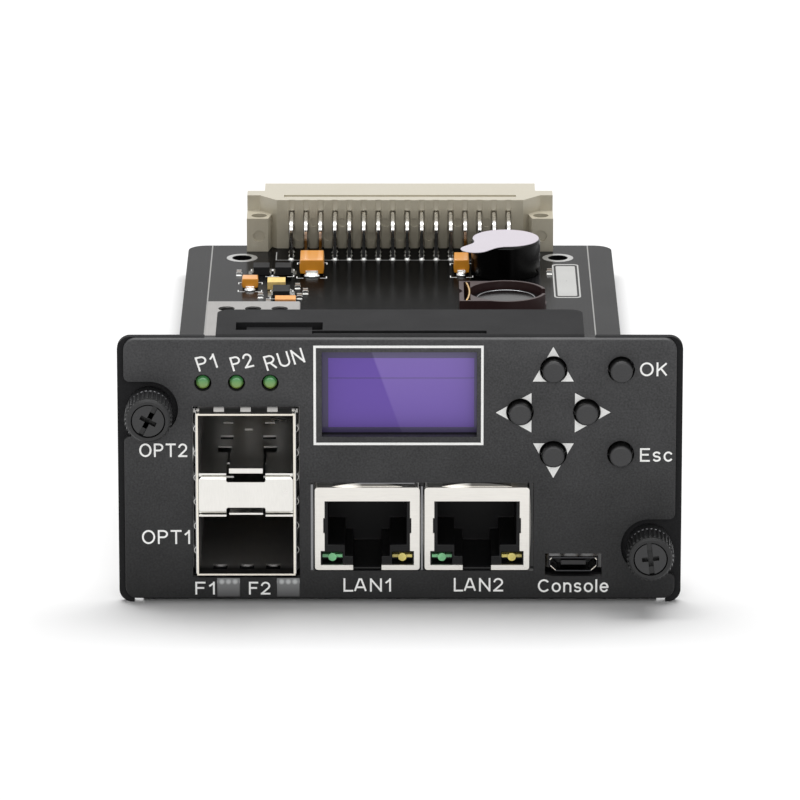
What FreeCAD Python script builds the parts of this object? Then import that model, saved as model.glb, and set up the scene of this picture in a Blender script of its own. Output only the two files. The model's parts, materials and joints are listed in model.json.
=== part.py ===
import FreeCAD, Part
import math
import os

# A plug-in network management card, in millimetres.
# x runs to the right, y from the front of the fascia towards the backplane, z up from the panel's lower edge.

Vec = FreeCAD.Vector
HALF_TURN = 180.0
DIAGONAL = math.sqrt(0.5)
TINY = 1e-6

# Panel and its folded bracket
panel_width = 85.0
panel_height = 41.7
panel_corner = 2.0
sheet = 1.2
bend_inner = 0.5
top_flange_width = 55.4
top_flange_reach = 15.3
bottom_flange_width = 77.8
bottom_flange_reach = 15.0
flange_corner = 2.0
top_relief_width = 1.65
bottom_relief_width = 1.3
relief_past_bend = 0.3

# Raised fascia
fascia_thick = 1.2
fascia_side_rim = 1.0
fascia_top_rim = 0.1
fascia_bottom_rim = 0.9
fascia_corner = 1.8
fascia_edge = 0.2

# Marks pressed in the upper flange
groove_left = -24.75
groove_length = 13.1
groove_start = 3.8
groove_width = 4.2
groove_depth = 0.7
groove_hole = 1.6

# Thumbscrews
screw_inset = 4.85
left_screw_drop = 11.0
right_screw_rise = 9.1
pocket_radius = 4.3
pocket_corner = 0.9
knob_radius = 3.58
knob_length = 4.7
knob_teeth = 32
knob_tooth = 0.26
knob_tooth_land = 0.3
knob_tooth_flank = 0.2
knob_rim = 0.5
knob_gap = 0.3
head_radius = 2.4
head_gap = 0.18
head_height = 1.7
head_sunk = 0.15
slot_width = 0.75
slot_depth = 0.45
cross_length = 2.6
cross_width = 0.7
cross_depth = 1.4
slot_turns = {"left": 62.0, "right": 96.0}
neck_radius = 1.2
thread_radius = 1.5
thread_length = 6.0
thread_tip = 0.5
ferrule_radius = 3.35
ferrule_height = 2.7
ferrule_shank = 2.3
ferrule_bore = 1.65
ferrule_tail = 0.6
ring_radius = 2.5
ring_thick = 0.8
ring_play = 0.1
ring_travel = 4.3
ring_room = 0.6
running_fit = 0.05

# Main board
board_width = 74.5
board_thick = 1.6
board_rear = 191.0
board_rear_corner = 3.2
board_front_corner = 1.0
board_panel_gap = 0.3
rear_hole_spacing = 55.4
rear_hole_radius = 1.6
rear_hole_inset = 8.5
post_height = 2.2
post_radius = 2.4
post_inset = 3.85
post_depth = 10.0
small_screw_radius = 1.0
small_screw_fit = 0.05
small_head_radius = 1.9
small_head_height = 1.4
small_head_chamfer = 0.5
pin_fit = 0.02
tail_length = 1.2

# Stacked module cage
cage_x = -23.2
cage_width = 14.8
cage_height = 25.4
cage_wall = 0.3
cage_front = -1.5
cage_rear = 62.0
cage_side_gap = 0.68
cage_top_gap = 0.7
cage_bottom_gap = 0.78
divider_low = 9.3
divider_height = 6.8
divider_sheet = 0.3
divider_seam = 0.1
divider_bend = 0.3
divider_return = 8.0
divider_corner = 0.6
divider_reach = 40.0
divider_notch_width = 5.9
divider_notch_depth = 1.4
divider_notch_corner = 0.3
latch_width = 5.1
latch_gap = 0.35
latch_length = 14.0
latch_lip = 0.48
# Stamped slots of the divider's sheets: offset from the middle, width, and where they start and end
divider_slot_places = (
    (3.45, 2.0, 11.1, 14.4), (3.25, 2.0, 18.0, 20.2), (3.2, 1.5, 26.4, 27.4), (0.0, 1.2, 22.8, 23.8),
)
floor_tongue_pitch = 4.0
floor_tongue_half = 1.1
floor_tongue_start = 2.4
floor_tongue_end = 5.0
floor_tongue_tip = 0.5
finger_count = 7
finger_rise = 1.73
finger_drop = 0.75
finger_height = 2.7
finger_sheet = 0.15
finger_bulge = 0.42
finger_reach = 5.2
finger_hem = 1.0
top_finger_count = 3
top_finger_pitch = 4.03
top_finger_width = 1.6
top_finger_start = 1.2
top_finger_step = 0.4
top_finger_rise = 0.6
corner_tab_width = 0.9
vent_radius = 1.3
vent_pitch = 4.2
vent_rows = 5
host_front = 44.0
host_depth = 14.0
host_slot_height = 1.6
host_slot_width = 11.0
host_slot_depth = 6.0
host_contacts = 10
host_contact_pitch = 0.8
host_contact_width = 0.4
host_contact_thick = 0.32

# Network jacks
jack_x = -4.94
jack_pitch = 16.56
jack_width = 15.8
jack_height = 13.0
jack_depth = 21.5
jack_wall = 0.35
jack_lift = 0.4
jack_edge = 0.45
jack_side_gap = 0.65
jack_top_gap = 0.8
jack_bottom_gap = 0.15
jack_open_width = 12.9
jack_top_band = 2.15
jack_low_band = 0.77
jack_light_width = 14.1
jack_light_top = 3.0
jack_notch_width = 4.3
jack_side_notch = 0.2
jack_side_notch_rise = 5.8
jack_side_notch_height = 2.4
jack_fit = 0.05
plug_width = 11.9
plug_top_gap = 0.25
plug_depth = 14.0
plug_floor = 3.9
plug_shelf = 2.1
plug_shelf_width = 6.8
plug_channel_floor = 0.35
light_pocket_width = 3.1
light_pocket_height = 1.9
light_pocket_depth = 2.4
light_pocket_x = 5.28
light_radius = 0.62
light_lead = 0.45
light_front = 0.9
contact_pitch = 1.02
contact_count = 8
contact_size = 0.35
contact_drop = 1.6
contact_start = 4.9
jack_spring_start = 0.6
jack_side_spring_start = 2.6
jack_spring_length = 5.0
jack_spring_half = 5.3
jack_spring_rise = 0.3
jack_top_spring_rise = 0.55

# Console socket
console_x = 26.2
console_gap = 0.55
console_cut_drop = 0.6
console_width = 7.3
console_height = 2.25
console_taper = 1.0
console_waist = 1.0
console_wall = 0.25
console_depth = 5.2
console_front = 0.3
console_flare = 0.1
tongue_width = 3.8
tongue_height = 0.7
tongue_reach = 3.6
tongue_rise = 1.0
tongue_root = 1.2

# Display
display_x = -0.1
window_width = 23.3
window_top_gap = 2.1
window_ledge = 3.6
glass_width = 24.74
glass_over_jack = 4.4
glass_thick = 0.7
glass_top_gap = 0.5
glass_panel_gap = 0.2
cap_ledge = 3.3
carrier_wall = 0.75
carrier_inset = 1.8
carrier_edge = 0.35
carrier_fit = 0.1
carrier_rib_depth = 1.25
carrier_rib_start = 3.15
carrier_rib_fit = 0.2
flex_width = 14.0
flex_thick = 0.2
flex_bond = 1.4
flex_drop = 0.5

# Upright board behind the panel
spacer_length = 5.2
spacer_radius = 1.9
upright_thick = 1.6
upright_edge = 3.3
upright_gap = 0.85
upright_over_cage = 1.4
upright_over_jack = 1.2
spacer_places = ((-16.4, 4.0), (34.0, 11.1), (16.7, 4.2))
low_spacer_x = 16.8
low_spacer_share = 0.40449

# Status lights
status_x = -29.6
status_pitch = 5.05
status_count = 3
status_share = 0.39665
status_hole_radius = 1.3
status_lens_radius = 1.05
status_lens_front = 0.15
status_lens_crown = 0.35
status_flange_radius = 1.4
status_flange_thick = 0.6
status_holder_length = 2.8
status_lead_size = 0.45

# Keys
pad_x = 23.05
pad_drop = 11.4
pad_side = 5.0
pad_rise = 6.6
side_key_x = 33.2
key_hole_radius = 2.05
key_radius = 1.7
key_proud = 1.7
key_edge = 0.25
key_travel = 0.25
key_foot_radius = 2.3
key_foot_thick = 0.6
key_foot_gap = 0.15
switch_size = 6.0
switch_height = 3.5
switch_cover = 0.3
switch_bore = 2.05
switch_well_radius = 2.6
switch_dome_room = 0.6

# Pin header between the boards
header_x = 27.4
header_count = 5
header_pitch = 2.54
header_pin = 0.64
header_rise = 7.4
header_depth = 2.5
header_first_bend = 1.3
header_pin_bend = 0.9
header_margin = 0.8

# Windows under the cage
window_light_width = 3.5
window_light_top = 4.1
window_light_height = 3.0
window_light_sunk = 0.1
window_light_places = (-25.95, -16.9)
window_stem_inset = 0.5
window_stem_rise = 0.9

# Backplane plug
plug_columns = 16
plug_rows = 3
plug_pitch = 2.54
plug_pin = 0.6
plug_pin_bend = 1.6
plug_first_row = 1.3
plug_body_width = 43.4
plug_body_height = 8.8
plug_body_front = 189.0
plug_wall_front = 192.4
plug_wall_rear = 195.6
plug_face = 200.7
plug_total_width = 53.9
plug_hood_width = 47.8
plug_hood_wall = 1.2
plug_cavity_depth = 7.0
plug_pin_reach = 1.4
plug_edge_gap = 0.2
plug_block_front = 186.8
plug_block_width = 3.75
plug_block_root = 1.1
plug_block_height = 6.0
plug_shoulder = 3.05
plug_hole_spacing = 49.6
plug_hole_radius = 1.35
plug_hole_inset = 2.2
plug_screw_reach = 3.4
plug_dimple_radius = 1.0
plug_dimple_depth = 0.4
plug_dimple_rise = 2.8
plug_groove_length = 40.9
plug_groove_start = 2.15
plug_groove_width = 1.4
plug_groove_depth = 0.3
plug_slot_width = 1.1
plug_slot_depth = 0.8
plug_slot_over = 0.45
plug_flute_depth = 0.25
plug_mark_radius = 0.75
plug_mark_depth = 0.15
# Round mould marks between the pins: heights over the board, and the columns to their left
plug_mark_rises = (4.7, 2.2)
plug_mark_columns = ((1, 3, 6, 8, 11, 13), (0, 2, 5, 7, 9, 12, 14))

# Buzzer
buzzer_x = 18.4
buzzer_y = 173.2
buzzer_radius = 6.0
buzzer_height = 6.0
buzzer_edge = 0.3
label_radius = 5.75
label_thick = 0.1
label_tab_width = 5.0
label_tab_length = 9.0
label_tab_turn = 233.0
label_blend = 3.0

# Coin cell and its holder
cell_x = 18.1
cell_y = 147.6
cell_radius = 6.1
cell_thick = 1.6
cell_edge = 0.4
holder_radius = 6.9
holder_height = 3.6
holder_floor = 0.8
holder_fit = 0.25
holder_gate = 3.0
holder_seat_width = 12.8
holder_seat_reach = 8.0
holder_notch = 0.6
holder_notch_half = 1.5
clip_length = 11.2
clip_bow = 0.5
clip_thick = 0.3
clip_room = 0.3

# Parts on the board: centre x, centre y, width, length, height
tantalum_places = (
    (-15.34, 174.15, 4.3, 7.3, 2.8),
    (-25.9, 163.05, 2.9, 3.5, 1.9),
    (10.7, 174.2, 2.8, 6.0, 2.6),
)
tantalum_lift = 0.25
tantalum_draft = 0.12
terminal_share = 0.5
terminal_rise_share = 0.32
terminal_thick = 0.3
terminal_foot = 1.2
parting_share = 0.4
processor_place = (0.5, 108.0, 17.0, 17.0, 1.5)
memory_places = ((-22.5, 110.0, 9.0, 13.0, 1.1), (22.5, 112.0, 8.0, 14.0, 1.1))
chip_places = (
    (-4.9, 36.0, 7.0, 7.0, 0.9),
    (11.6, 36.0, 7.0, 7.0, 0.9),
    (-22.5, 84.0, 9.0, 9.0, 1.0),
    (24.0, 70.0, 5.0, 4.0, 1.5),
    (-24.1, 172.4, 2.8, 3.2, 1.5),
    (-20.3, 172.4, 2.8, 3.2, 1.5),
    (-20.45, 158.3, 2.9, 4.2, 1.2),
    (-4.0, 128.0, 5.0, 6.2, 1.6),
    (-22.6, 140.0, 6.5, 5.2, 1.6),
)
passive_size = (0.8, 1.6, 0.6)
passive_places = (
    (-12.0, 98.0), (-12.0, 102.0), (-12.0, 106.0), (-12.0, 110.0), (-12.0, 114.0), (-12.0, 118.0),
    (12.6, 98.0), (12.6, 102.0), (12.6, 106.0), (12.6, 110.0), (12.6, 114.0), (12.6, 118.0),
    (-24.0, 156.9), (-22.6, 152.6), (-17.7, 162.8), (-17.3, 156.2), (-28.0, 171.5), (-16.3, 159.4),
    (26.0, 172.4), (-8.6, 132.0), (0.6, 128.0), (0.6, 132.0), (4.6, 136.0), (-10.0, 136.0),
)
coil_place = (24.0, 82.0, 6.6, 6.6, 2.8)
crystal_place = (-8.2, 88.0, 3.2, 5.0, 1.0)
filter_place = (-21.35, 163.2, 3.05, 3.2, 1.3)
diode_place = (-19.65, 152.4, 3.5, 2.6, 1.1)
coil_corner = 1.2

# Places that follow from the sizes above
panel_front = fascia_thick
panel_back = fascia_thick + sheet
bend_outer = bend_inner + sheet
relief_depth = bend_outer + relief_past_bend
half_width = panel_width / 2
board_bottom = sheet + post_height
board_top = board_bottom + board_thick
board_front = panel_back + board_panel_gap
tail_end = board_bottom - tail_length
upright_front = panel_back + spacer_length
upright_back = upright_front + upright_thick
cage_top = board_top + cage_height
jack_bottom = board_top + jack_lift
jack_top = jack_bottom + jack_height
jack_places = (jack_x, jack_x + jack_pitch)
flange_under = panel_height - sheet
cage_cut_top = cage_top + cage_top_gap
status_z = cage_cut_top + status_share * (flange_under - cage_cut_top)
status_places = [status_x + i * status_pitch for i in range(status_count)]
pad_z = panel_height - pad_drop
key_places = {
    "up_button": (pad_x, pad_z + pad_rise),
    "down_button": (pad_x, pad_z - pad_rise),
    "left_button": (pad_x - pad_side, pad_z),
    "right_button": (pad_x + pad_side, pad_z),
    "ok_button": (side_key_x, pad_z + pad_rise),
    "escape_button": (side_key_x, pad_z - pad_rise),
}
screw_places = {
    "left": (screw_inset - half_width, panel_height - left_screw_drop),
    "right": (half_width - screw_inset, right_screw_rise),
}
low_spacer_room = pad_z - switch_size / 2 - jack_top
spacer_points = [(x, panel_height - drop) for x, drop in spacer_places]
spacer_points.append((low_spacer_x, jack_top + low_spacer_share * low_spacer_room))
ferrule_front = panel_front - ferrule_height
ferrule_back = panel_back + ferrule_tail
knob_back = ferrule_front - knob_gap
knob_front = knob_back - knob_length
ring_front = ferrule_back + ring_travel
thread_start = ring_front + ring_thick + ring_play
glass_front = panel_back + glass_panel_gap
glass_top = flange_under - glass_top_gap
glass_bottom = jack_top + glass_over_jack
window_low = glass_bottom + window_ledge
window_top = panel_height - window_top_gap
cap_front = glass_front + glass_thick
cap_back = cap_front + glass_thick
console_bottom = board_top
pin_columns = [(i - (plug_columns - 1) / 2) * plug_pitch for i in range(plug_columns)]
pin_heights = [board_top + plug_first_row + row * plug_pitch for row in range(plug_rows)]
pin_feet = [plug_body_front - (row + 1) * plug_pitch for row in range(plug_rows)]
header_columns = [header_x + (i - (header_count - 1) / 2) * header_pitch for i in range(header_count)]
header_heights = (board_top + header_rise, board_top + header_rise + header_pitch)
header_feet = (upright_back + header_depth + header_first_bend,
               upright_back + header_depth + header_first_bend + header_pitch)
middle_y = (knob_front + plug_face) / 2


# Simple solids
def box(x0, x1, y0, y1, z0, z1):
    return Part.makeBox(x1 - x0, y1 - y0, z1 - z0, Vec(x0, y0, z0))


def slab(x, width, y0, y1, z0, z1):
    # A box whose width is centred on x.
    return box(x - width / 2, x + width / 2, y0, y1, z0, z1)


def rod(x, z, y0, y1, radius):
    return Part.makeCylinder(radius, y1 - y0, Vec(x, y0, z), Vec(0, 1, 0))


def post(x, y, z0, z1, radius):
    return Part.makeCylinder(radius, z1 - z0, Vec(x, y, z0))


def face_of(path, place):
    # Two numbers are a straight run to a point; four are an arc through the first pair to the second.
    edges = []
    last = place(*path[-1][-2:])
    for step in path:
        end = place(*step[-2:])
        if len(step) == 4:
            edges.append(Part.Arc(last, place(*step[:2]), end).toShape())
        else:
            edges.append(Part.makeLine(last, end))
        last = end
    return Part.Face(Part.Wire(edges))


def prism_x(path, x0, x1):
    return face_of(path, lambda y, z: Vec(x0, y, z)).extrude(Vec(x1 - x0, 0, 0))


def prism_y(path, y0, y1):
    return face_of(path, lambda x, z: Vec(x, y0, z)).extrude(Vec(0, y1 - y0, 0))


def prism_z(path, z0, z1):
    return face_of(path, lambda x, y: Vec(x, y, z0)).extrude(Vec(0, 0, z1 - z0))


def turned(path, x, z):
    # A profile of (radius, y) points turned about a line along y.
    face = face_of(path, lambda radius, y: Vec(x + radius, y, z))
    return face.revolve(Vec(x, 0, z), Vec(0, 1, 0), 2 * HALF_TURN)


def turned_upright(path, x, y):
    # A profile of (radius, z) points turned about a line along z.
    face = face_of(path, lambda radius, z: Vec(x + radius, y, z))
    return face.revolve(Vec(x, y, 0), Vec(0, 0, 1), 2 * HALF_TURN)


def join(shapes):
    return shapes[0].fuse(shapes[1:]).removeSplitter()


def rounded(shape, direction, radius):
    # Rounds the straight edges that run along one direction.
    edges = [e for e in shape.Edges if e.tangentAt(e.FirstParameter).cross(direction).Length < TINY]
    return shape.makeFillet(radius, edges)


def group(shapes):
    return Part.makeCompound(shapes)


# Cut-outs that the fascia and the bracket share
def panel_cuts(y0, y1):
    cage_cut = cage_width + 2 * cage_side_gap
    jack_left = jack_places[0] - jack_width / 2 - jack_side_gap
    jack_right = jack_places[-1] + jack_width / 2 + jack_side_gap
    console_cut = console_width + 2 * (console_flare + console_gap)
    console_top = console_bottom + console_height + 2 * console_flare + console_gap
    cuts = [
        slab(cage_x, cage_cut, y0, y1, board_top - cage_bottom_gap, cage_cut_top),
        box(jack_left, jack_right, y0, y1, jack_bottom - jack_bottom_gap, jack_top + jack_top_gap),
        slab(console_x, console_cut, y0, y1, console_bottom - console_cut_drop, console_top),
        slab(display_x, window_width, y0, y1, window_low, window_top),
    ]
    cuts += [rod(x, status_z, y0, y1, status_hole_radius) for x in status_places]
    cuts += [rod(x, z, y0, y1, key_hole_radius) for x, z in key_places.values()]
    return cuts


# Folded bracket
def bent_flange(width, reach):
    low = panel_height - relief_depth
    turn_y = panel_front + bend_outer
    turn_z = panel_height - bend_outer
    path = [
        (panel_front, low),
        (panel_front, turn_z),
        (turn_y - bend_outer * DIAGONAL, turn_z + bend_outer * DIAGONAL, turn_y, panel_height),
        (panel_front + reach, panel_height),
        (panel_front + reach, flange_under),
        (turn_y, flange_under),
        (turn_y - bend_inner * DIAGONAL, turn_z + bend_inner * DIAGONAL, panel_back, turn_z),
        (panel_back, low),
    ]
    flange = prism_x(path, -width / 2, width / 2)
    rear = panel_front + reach - TINY
    corners = [e for e in flange.Edges if e.BoundBox.YMin > rear and e.BoundBox.XLength < sheet]
    return flange.makeFillet(flange_corner, corners)


def upside_down(shape):
    return shape.mirror(Vec(0, 0, panel_height / 2), Vec(0, 0, 1))


def relief_cut(flange_width, width):
    half = flange_width / 2 + width
    low = panel_height - relief_depth
    bar = box(-half, half, 0, panel_back + sheet, low, panel_height + sheet)
    radius = width / 2
    ends = [rod(side * (half - radius), low, 0, panel_back + sheet, radius) for side in (-1, 1)]
    return join([bar] + ends)


def make_front_bracket():
    plate = slab(0, panel_width, panel_front, panel_back, 0, panel_height)
    plate = rounded(plate, Vec(0, 1, 0), panel_corner)
    plate = plate.cut([relief_cut(top_flange_width, top_relief_width),
                       upside_down(relief_cut(bottom_flange_width, bottom_relief_width))])
    flanges = [bent_flange(top_flange_width, top_flange_reach),
               upside_down(bent_flange(bottom_flange_width, bottom_flange_reach))]
    bracket = join([plate] + flanges)
    groove_y = panel_front + groove_start
    groove_end = groove_y + groove_width
    groove_right = groove_left + groove_length
    rib_width = glass_width + 2 * carrier_wall
    rib_start = carrier_rib_start - carrier_rib_fit
    rib_end = carrier_rib_start + carrier_rib_depth + carrier_rib_fit
    cuts = panel_cuts(0, panel_back + sheet)
    cuts += [rod(x, z, 0, panel_back + sheet, ferrule_shank) for x, z in screw_places.values()]
    cuts += [window_stem(x) for x in window_light_places]
    cuts.append(box(groove_left, groove_right, groove_y, groove_end, panel_height - groove_depth,
                    panel_height + sheet))
    for x in (groove_left, groove_right - groove_hole):
        cuts.append(box(x, x + groove_hole, groove_y, groove_end, flange_under - sheet, panel_height))
    cuts.append(slab(display_x, rib_width, rib_start, rib_end, flange_under - sheet, panel_height + sheet))
    for x, y in post_points():
        cuts.append(post(x, y, 0, sheet, small_screw_radius + small_screw_fit))
    return bracket.cut(cuts)


# Raised fascia with a pocket round each thumbscrew
def screw_pocket(x, z, side):
    edge = side * (half_width - fascia_side_rim)
    past = side * (half_width + fascia_side_rim)
    turn = edge - side * pocket_corner
    bulge = pocket_corner * DIAGONAL
    top, low = z + pocket_radius, z - pocket_radius
    path = [
        (past, top + pocket_corner),
        (edge, top + pocket_corner),
        (turn + side * bulge, top + pocket_corner - bulge, turn, top),
        (x, top),
        (x - side * pocket_radius, z, x, low),
        (turn, low),
        (turn + side * bulge, low - pocket_corner + bulge, edge, low - pocket_corner),
        (past, low - pocket_corner),
    ]
    return prism_y(path, -fascia_thick, 2 * fascia_thick)


def window_front(x):
    low = window_light_top - window_light_height
    return slab(x, window_light_width, window_light_sunk, panel_front, low, window_light_top)


def window_stem(x):
    width = window_light_width - 2 * window_stem_inset
    low = window_light_top - window_light_height + window_stem_rise
    return slab(x, width, panel_front, panel_back, low, window_light_top - window_stem_inset)


def make_front_fascia():
    width = panel_width - 2 * fascia_side_rim
    plate = slab(0, width, 0, fascia_thick, fascia_bottom_rim, panel_height - fascia_top_rim)
    plate = rounded(plate, Vec(0, 1, 0), fascia_corner)
    front = [e for e in plate.Edges if e.BoundBox.YMax < TINY]
    plate = plate.makeFillet(fascia_edge, front)
    cuts = panel_cuts(-fascia_thick, 2 * fascia_thick)
    for side, sign in (("left", -1), ("right", 1)):
        x, z = screw_places[side]
        cuts.append(screw_pocket(x, z, sign))
    for x in window_light_places:
        cuts.append(window_front(x).fuse(window_front(x).translated(Vec(0, -window_light_sunk, 0))))
    return plate.cut(cuts)


def make_port_light_windows():
    return group([join([window_front(x), window_stem(x)]) for x in window_light_places])


# Thumbscrews
def make_ferrule(x, z):
    path = [
        (ferrule_bore, ferrule_front),
        (ferrule_radius, ferrule_front),
        (ferrule_radius, panel_front),
        (ferrule_shank, panel_front),
        (ferrule_shank, ferrule_back),
        (ferrule_bore, ferrule_back),
    ]
    return turned(path, x, z)


def make_knob(x, z):
    points = []
    root = knob_radius - knob_tooth
    tooth = (
        (0, knob_radius),
        (knob_tooth_land, knob_radius),
        (knob_tooth_land + knob_tooth_flank, root),
        (1 - knob_tooth_flank, root),
    )
    for i in range(knob_teeth):
        for share, radius in tooth:
            angle = 2 * math.pi * (i + share) / knob_teeth
            points.append((x + radius * math.cos(angle), z + radius * math.sin(angle)))
    shoulder = knob_front + knob_rim
    knurl = prism_y(points, shoulder, knob_back)
    rim = turned([(0, knob_front), (root - knob_tooth, knob_front), (root, knob_front + knob_tooth),
                  (root, shoulder), (0, shoulder)], x, z)
    seat = knob_front + head_sunk + head_height
    bore = rod(x, z, knob_front, seat, head_radius + head_gap)
    neck = rod(x, z, seat, knob_back, neck_radius + running_fit)
    return join([knurl, rim]).cut([bore, neck])


def make_captive_screw(x, z, turn):
    head = knob_front + head_sunk
    seat = head + head_height
    tip = thread_start + thread_length
    path = [
        (0, head),
        (head_radius, head),
        (head_radius, seat),
        (neck_radius, seat),
        (neck_radius, thread_start),
        (thread_radius, thread_start),
        (thread_radius, tip - thread_tip),
        (thread_radius - thread_tip, tip),
        (0, tip),
    ]
    drive = join([
        slab(x, 2 * head_radius, head, head + slot_depth, z - slot_width / 2, z + slot_width / 2),
        slab(x, cross_length, head, head + cross_depth, z - cross_width / 2, z + cross_width / 2),
        slab(x, cross_width, head, head + cross_depth, z - cross_length / 2, z + cross_length / 2),
    ])
    drive.rotate(Vec(x, 0, z), Vec(0, 1, 0), -turn)
    return turned(path, x, z).cut(drive)


def make_retaining_ring(x, z):
    ring = rod(x, z, ring_front, ring_front + ring_thick, ring_radius)
    return ring.cut(rod(x, z, ring_front, ring_front + ring_thick, neck_radius + running_fit))


# Display, its carrier and its flex tail
def glass_plate(y0, y1, z0, z1):
    return slab(display_x, glass_width, y0, y1, z0, z1)


def make_display_carrier():
    outer = glass_width + 2 * carrier_wall
    top = glass_top + carrier_edge
    low = glass_bottom - carrier_edge
    body = slab(display_x, outer, cap_front, upright_front, low, top)
    rib_end = carrier_rib_start + carrier_rib_depth
    rib_top = panel_height - carrier_edge
    rib = slab(display_x, outer - 2 * carrier_rib_fit, carrier_rib_start, rib_end, top, rib_top)
    pocket_width = glass_width + 2 * carrier_fit
    pocket = slab(display_x, pocket_width, cap_front, cap_back, low, glass_top + carrier_fit)
    hole_width = glass_width - 2 * carrier_inset
    hole = slab(display_x, hole_width, cap_back, upright_front, glass_bottom + carrier_inset,
                glass_top - carrier_inset)
    return join([body, rib]).cut([pocket, hole])


def make_display_flex():
    outer_y = cap_front + flex_thick
    low = glass_bottom - carrier_edge - flex_drop
    path = [
        (cap_front, glass_bottom + flex_bond),
        (outer_y, glass_bottom + flex_bond),
        (outer_y, low + flex_thick),
        (upright_front, low + flex_thick),
        (upright_front, low),
        (cap_front, low),
    ]
    return prism_x(path, display_x - flex_width / 2, display_x + flex_width / 2)


# Upright board, its fixings and the status lights
def make_display_board():
    left = status_places[0] - upright_edge
    right = side_key_x + upright_edge
    top = flange_under - upright_gap
    over_cage = cage_top + upright_over_cage
    over_jack = jack_top + upright_over_jack
    cage_side = cage_x + cage_width / 2 + upright_over_cage
    tab_left = header_columns[0] - header_pitch / 2 - header_margin
    tab_right = header_columns[-1] + header_pitch / 2 + header_margin
    tab_low = header_heights[0] - header_pitch / 2 - header_margin
    path = [
        (left, over_cage), (left, top), (right, top), (right, over_jack), (tab_right, over_jack),
        (tab_right, tab_low), (tab_left, tab_low), (tab_left, over_jack), (cage_side, over_jack),
        (cage_side, over_cage),
    ]
    board = prism_y(path, upright_front, upright_back)
    screw_hole = small_screw_radius + small_screw_fit
    holes = [rod(x, z, upright_front, upright_back, screw_hole) for x, z in spacer_points]
    room = ring_radius + ring_room
    rooms = [rod(x, z, upright_front, upright_back, room) for x, z in screw_places.values()]
    return board.cut(holes + rooms + header_pin_holes(upright_front, upright_back))


def make_spacer(x, z):
    tube = rod(x, z, panel_back, upright_front, spacer_radius)
    return tube.cut(rod(x, z, panel_back, upright_front, small_screw_radius + small_screw_fit))


def small_screw_path(radius, end, seat):
    # Radius against height of a small screw, from its tip to the top of its chamfered head.
    top = seat + small_head_height
    return [
        (0, end),
        (radius, end),
        (radius, seat),
        (small_head_radius, seat),
        (small_head_radius, top - small_head_chamfer),
        (small_head_radius - small_head_chamfer, top),
        (0, top),
    ]


def make_spacer_screw(x, z):
    path = small_screw_path(small_screw_radius, panel_back + small_screw_radius, upright_back)
    top = upright_back + small_head_height
    slot = slab(x, 2 * small_head_radius, top - slot_depth, top, z - slot_width / 2, z + slot_width / 2)
    return turned(path, x, z).cut(slot)


def make_status_light(x):
    holder_front = upright_front - status_holder_length
    flange_front = holder_front - status_flange_thick
    path = [
        (0, status_lens_front),
        (status_lens_radius - status_lens_crown, status_lens_front),
        (status_lens_radius, status_lens_front + status_lens_crown),
        (status_lens_radius, flange_front),
        (status_flange_radius, flange_front),
        (status_flange_radius, holder_front),
        (0, holder_front),
    ]
    return turned(path, x, status_z)


def make_status_holder(x):
    front = upright_front - status_holder_length
    holder = rod(x, status_z, front, upright_front, status_flange_radius)
    low, top = status_z - status_lead_size / 2, status_z + status_lead_size / 2
    lead_x = status_flange_radius / 2
    leads = [slab(x + side * lead_x, status_lead_size, front, upright_front, low, top) for side in (-1, 1)]
    return holder.cut(leads)


# Keys and their switches
def switch_front():
    return upright_front - switch_height


def make_switch_base(x, z):
    half = switch_size / 2
    front = switch_front() + switch_cover
    base = slab(x, switch_size, front, upright_front, z - half, z + half)
    base = rounded(base, Vec(0, 1, 0), switch_cover)
    depth = key_foot_gap + key_foot_thick + key_travel + switch_dome_room
    return base.cut(rod(x, z, front, front + depth, switch_well_radius))


def make_switch_cover(x, z):
    half = switch_size / 2
    front = switch_front()
    plate = slab(x, switch_size, front, front + switch_cover, z - half, z + half)
    return plate.cut(rod(x, z, front, front + switch_cover, switch_bore))


def make_key(x, z):
    foot = switch_front() + switch_cover + key_foot_gap
    path = [
        (0, -key_proud),
        (key_radius - key_edge, -key_proud),
        (key_radius, key_edge - key_proud),
        (key_radius, foot),
        (key_foot_radius, foot),
        (key_foot_radius, foot + key_foot_thick),
        (0, foot + key_foot_thick),
    ]
    return turned(path, x, z)


# Pin header between the boards
def header_pin_holes(y0, y1):
    size = header_pin + 2 * pin_fit
    return [slab(x, size, y0, y1, z - size / 2, z + size / 2) for x in header_columns for z in header_heights]


def make_link_header():
    back = upright_back + header_depth
    low = header_heights[0] - header_pitch / 2
    top = header_heights[-1] + header_pitch / 2
    body = slab(header_x, header_count * header_pitch, upright_back, back, low, top)
    return body.cut(header_pin_holes(upright_back, back))


def bent_pin(x, size, bend, start, foot, height, end):
    # A square pin that runs along y at one height and turns down at its foot in a round bend.
    half = size / 2
    side = 1 if start > foot else -1
    outer, inner = foot - side * half, foot + side * half
    turn_y, turn_z = outer + side * bend, height + half - bend
    wide, tight = bend * DIAGONAL, (bend - size) * DIAGONAL
    path = [
        (start, height + half),
        (turn_y, height + half),
        (turn_y - side * wide, turn_z + wide, outer, turn_z),
        (outer, end),
        (inner, end),
        (inner, turn_z),
        (turn_y - side * tight, turn_z + tight, turn_y, height - half),
        (start, height - half),
    ]
    return prism_x(path, x - half, x + half)


def make_link_header_pins():
    start = upright_front - header_pin
    return group([bent_pin(x, header_pin, header_pin_bend, start, foot, z, tail_end)
                  for x in header_columns for z, foot in zip(header_heights, header_feet)])


# Main board, its posts and screws
def post_points():
    return [(side * (board_width / 2 - post_inset), post_depth) for side in (-1, 1)]


def plug_screw_points():
    return [(side * plug_hole_spacing / 2, plug_block_front + plug_hole_inset) for side in (-1, 1)]


def rear_hole_points():
    return [(side * rear_hole_spacing / 2, board_rear - rear_hole_inset) for side in (-1, 1)]


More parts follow.
